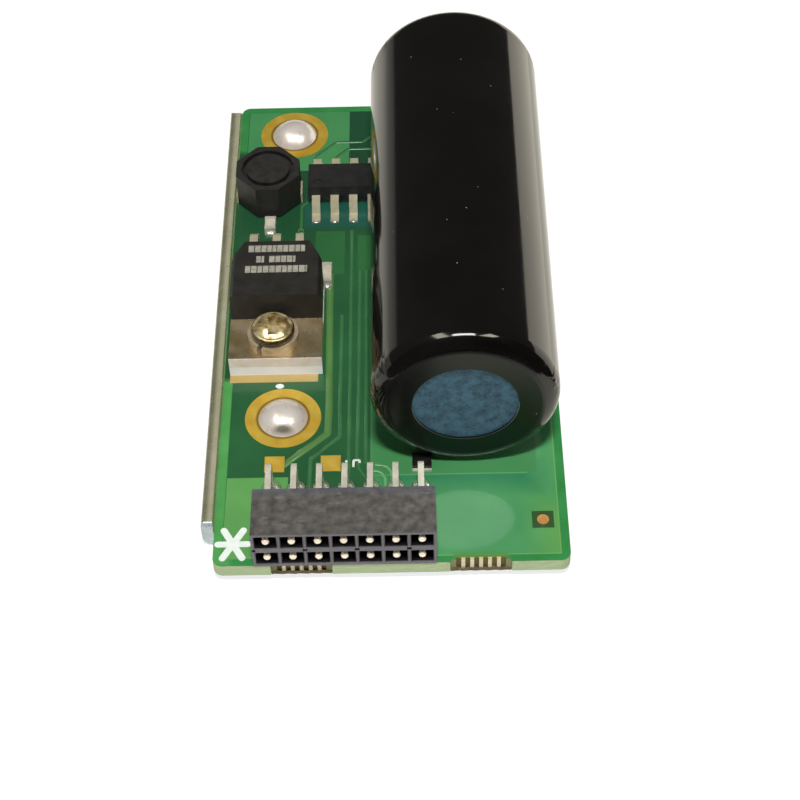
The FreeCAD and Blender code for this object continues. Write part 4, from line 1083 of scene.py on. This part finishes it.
def makePillows(look):
    tips, feet = [], []
    for name in cadNodes:
        low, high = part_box(name)
        middle = (low.x + high.x) / 2
        if name.startswith("contact_"):
            place = (middle, low.y + look["tipBack"] * mm, high.z - look["tipDrop"] * mm)
            tips.append((place, Vector(look["tipHalf"]) * mm))
        elif name.endswith("_capacitor") or name.startswith("charger_leg"):
            if name.endswith("_capacitor"):
                (room, deep, tall), ends = look["capFoot"], (low.y, high.y)
            else:
                back = look["legBack"] * mm
                end = low.y + back if "front" in name else high.y - back
                (room, deep, tall), ends = look["legFoot"], [end]
            size = ((high.x - low.x) / 2 + room * mm, deep * mm, tall * mm)
            feet += [((middle, end, boardHigh.z), size) for end in ends]
    net = makeBlockTree("pillows", look["edge"], look["level"])
    growBlocks("contactTips", tips, net, "gilt_tip", "contact_metal")
    growBlocks("footSolder", feet, net, "solder_joint", "tinned_lead")


makePillows(pillowSet)


# white ink: the six-armed mark by the first contact and small dots

starSet = {
    "middle": (1.96, 2.62), "arms": [(0, 1.85), (60, 2.3), (120, 2.3)], "width": 0.7,
    "thick": 0.03, "capSteps": 6, "dotSides": 16,
    "dots": [((5.95, 23.2), (0.46, 0.32)), ((13.14, 12.85), (0.14, 0.14))],
}


def starOutline(look):
    half, between = look["width"] / 2, math.radians(30)
    reach = {angle + turn: length for angle, length in look["arms"] for turn in (0, 180)}
    outline = []
    for angle in sorted(reach):
        turn = math.radians(angle)
        for step in range(look["capSteps"] + 1):
            bend = -math.pi / 2 + math.pi * step / look["capSteps"]
            spot = Vector((reach[angle] - half + half * math.cos(bend), half * math.sin(bend)))
            outline.append(spot @ Matrix.Rotation(-turn, 2))
        notch = Vector((math.cos(turn + between), math.sin(turn + between)))
        outline.append(notch * half / math.sin(between))
    return [(look["middle"][0] + spot.x, look["middle"][1] + spot.y) for spot in outline]


def makeStar(look):
    shapes = [starOutline(look)]
    turns = [math.tau * i / look["dotSides"] for i in range(look["dotSides"])]
    for (across, back), (wide, deep) in look["dots"]:
        shapes.append([(across + wide * math.cos(turn), back + deep * math.sin(turn)) for turn in turns])
    points, faces = [], []
    for shape in shapes:
        lower = [Vector(onBoard(*spot)) for spot in shape]
        ring = [len(points) + i for i in range(len(lower))]
        over = [i + len(lower) for i in ring]
        points += lower + [(spot.x, spot.y, spot.z + look["thick"] * mm) for spot in lower]
        faces += [ring[::-1], over]
        faces += [(ring[i - 1], ring[i], over[i], over[i - 1]) for i in range(len(ring))]
    mesh = bpy.data.meshes.new("firstContactMark")
    mesh.from_pydata(points, [], faces)
    mesh.materials.append(finishes["silk_ink"])
    keepPiece("firstContactMark", mesh)


makeStar(starSet)


# rows of plain bars where the transistor is printed

printSet = {
    # left, right and distance from the tab's front, then the height of the bars
    "rows": [(-3.04, 3.1, 13.2, 1), (-2.15, -1.3, 11.6, 0.95), (-0.75, 2.1, 11.6, 0.95),
             (-3.3, 3.4, 10.1, 1)],
    "bar": (0.42, 0.66), "gap": 0.09, "thick": 0.024, "seed": 6, "shift": -0.05, "edge": 1,
}


def makePrint(look):
    low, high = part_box("transistor_body")
    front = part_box("transistor_tab")[0].y
    middle = (low.x + high.x) / 2 + look["shift"] * mm
    chance = random.Random(look["seed"])
    spots = []
    for left, right, back, tall in look["rows"]:
        while left < right:
            wide = min(chance.uniform(*look["bar"]), right - left)
            place = (middle + (left + wide / 2) * mm, front + back * mm, high.z)
            spots.append((place, Vector((wide, tall, look["thick"])) * mm))
            left += wide + look["gap"]
    growBlocks("transistorPrint", spots, makeBlockTree("printBars", look["edge"], 0), "print_ink")


makePrint(printSet)
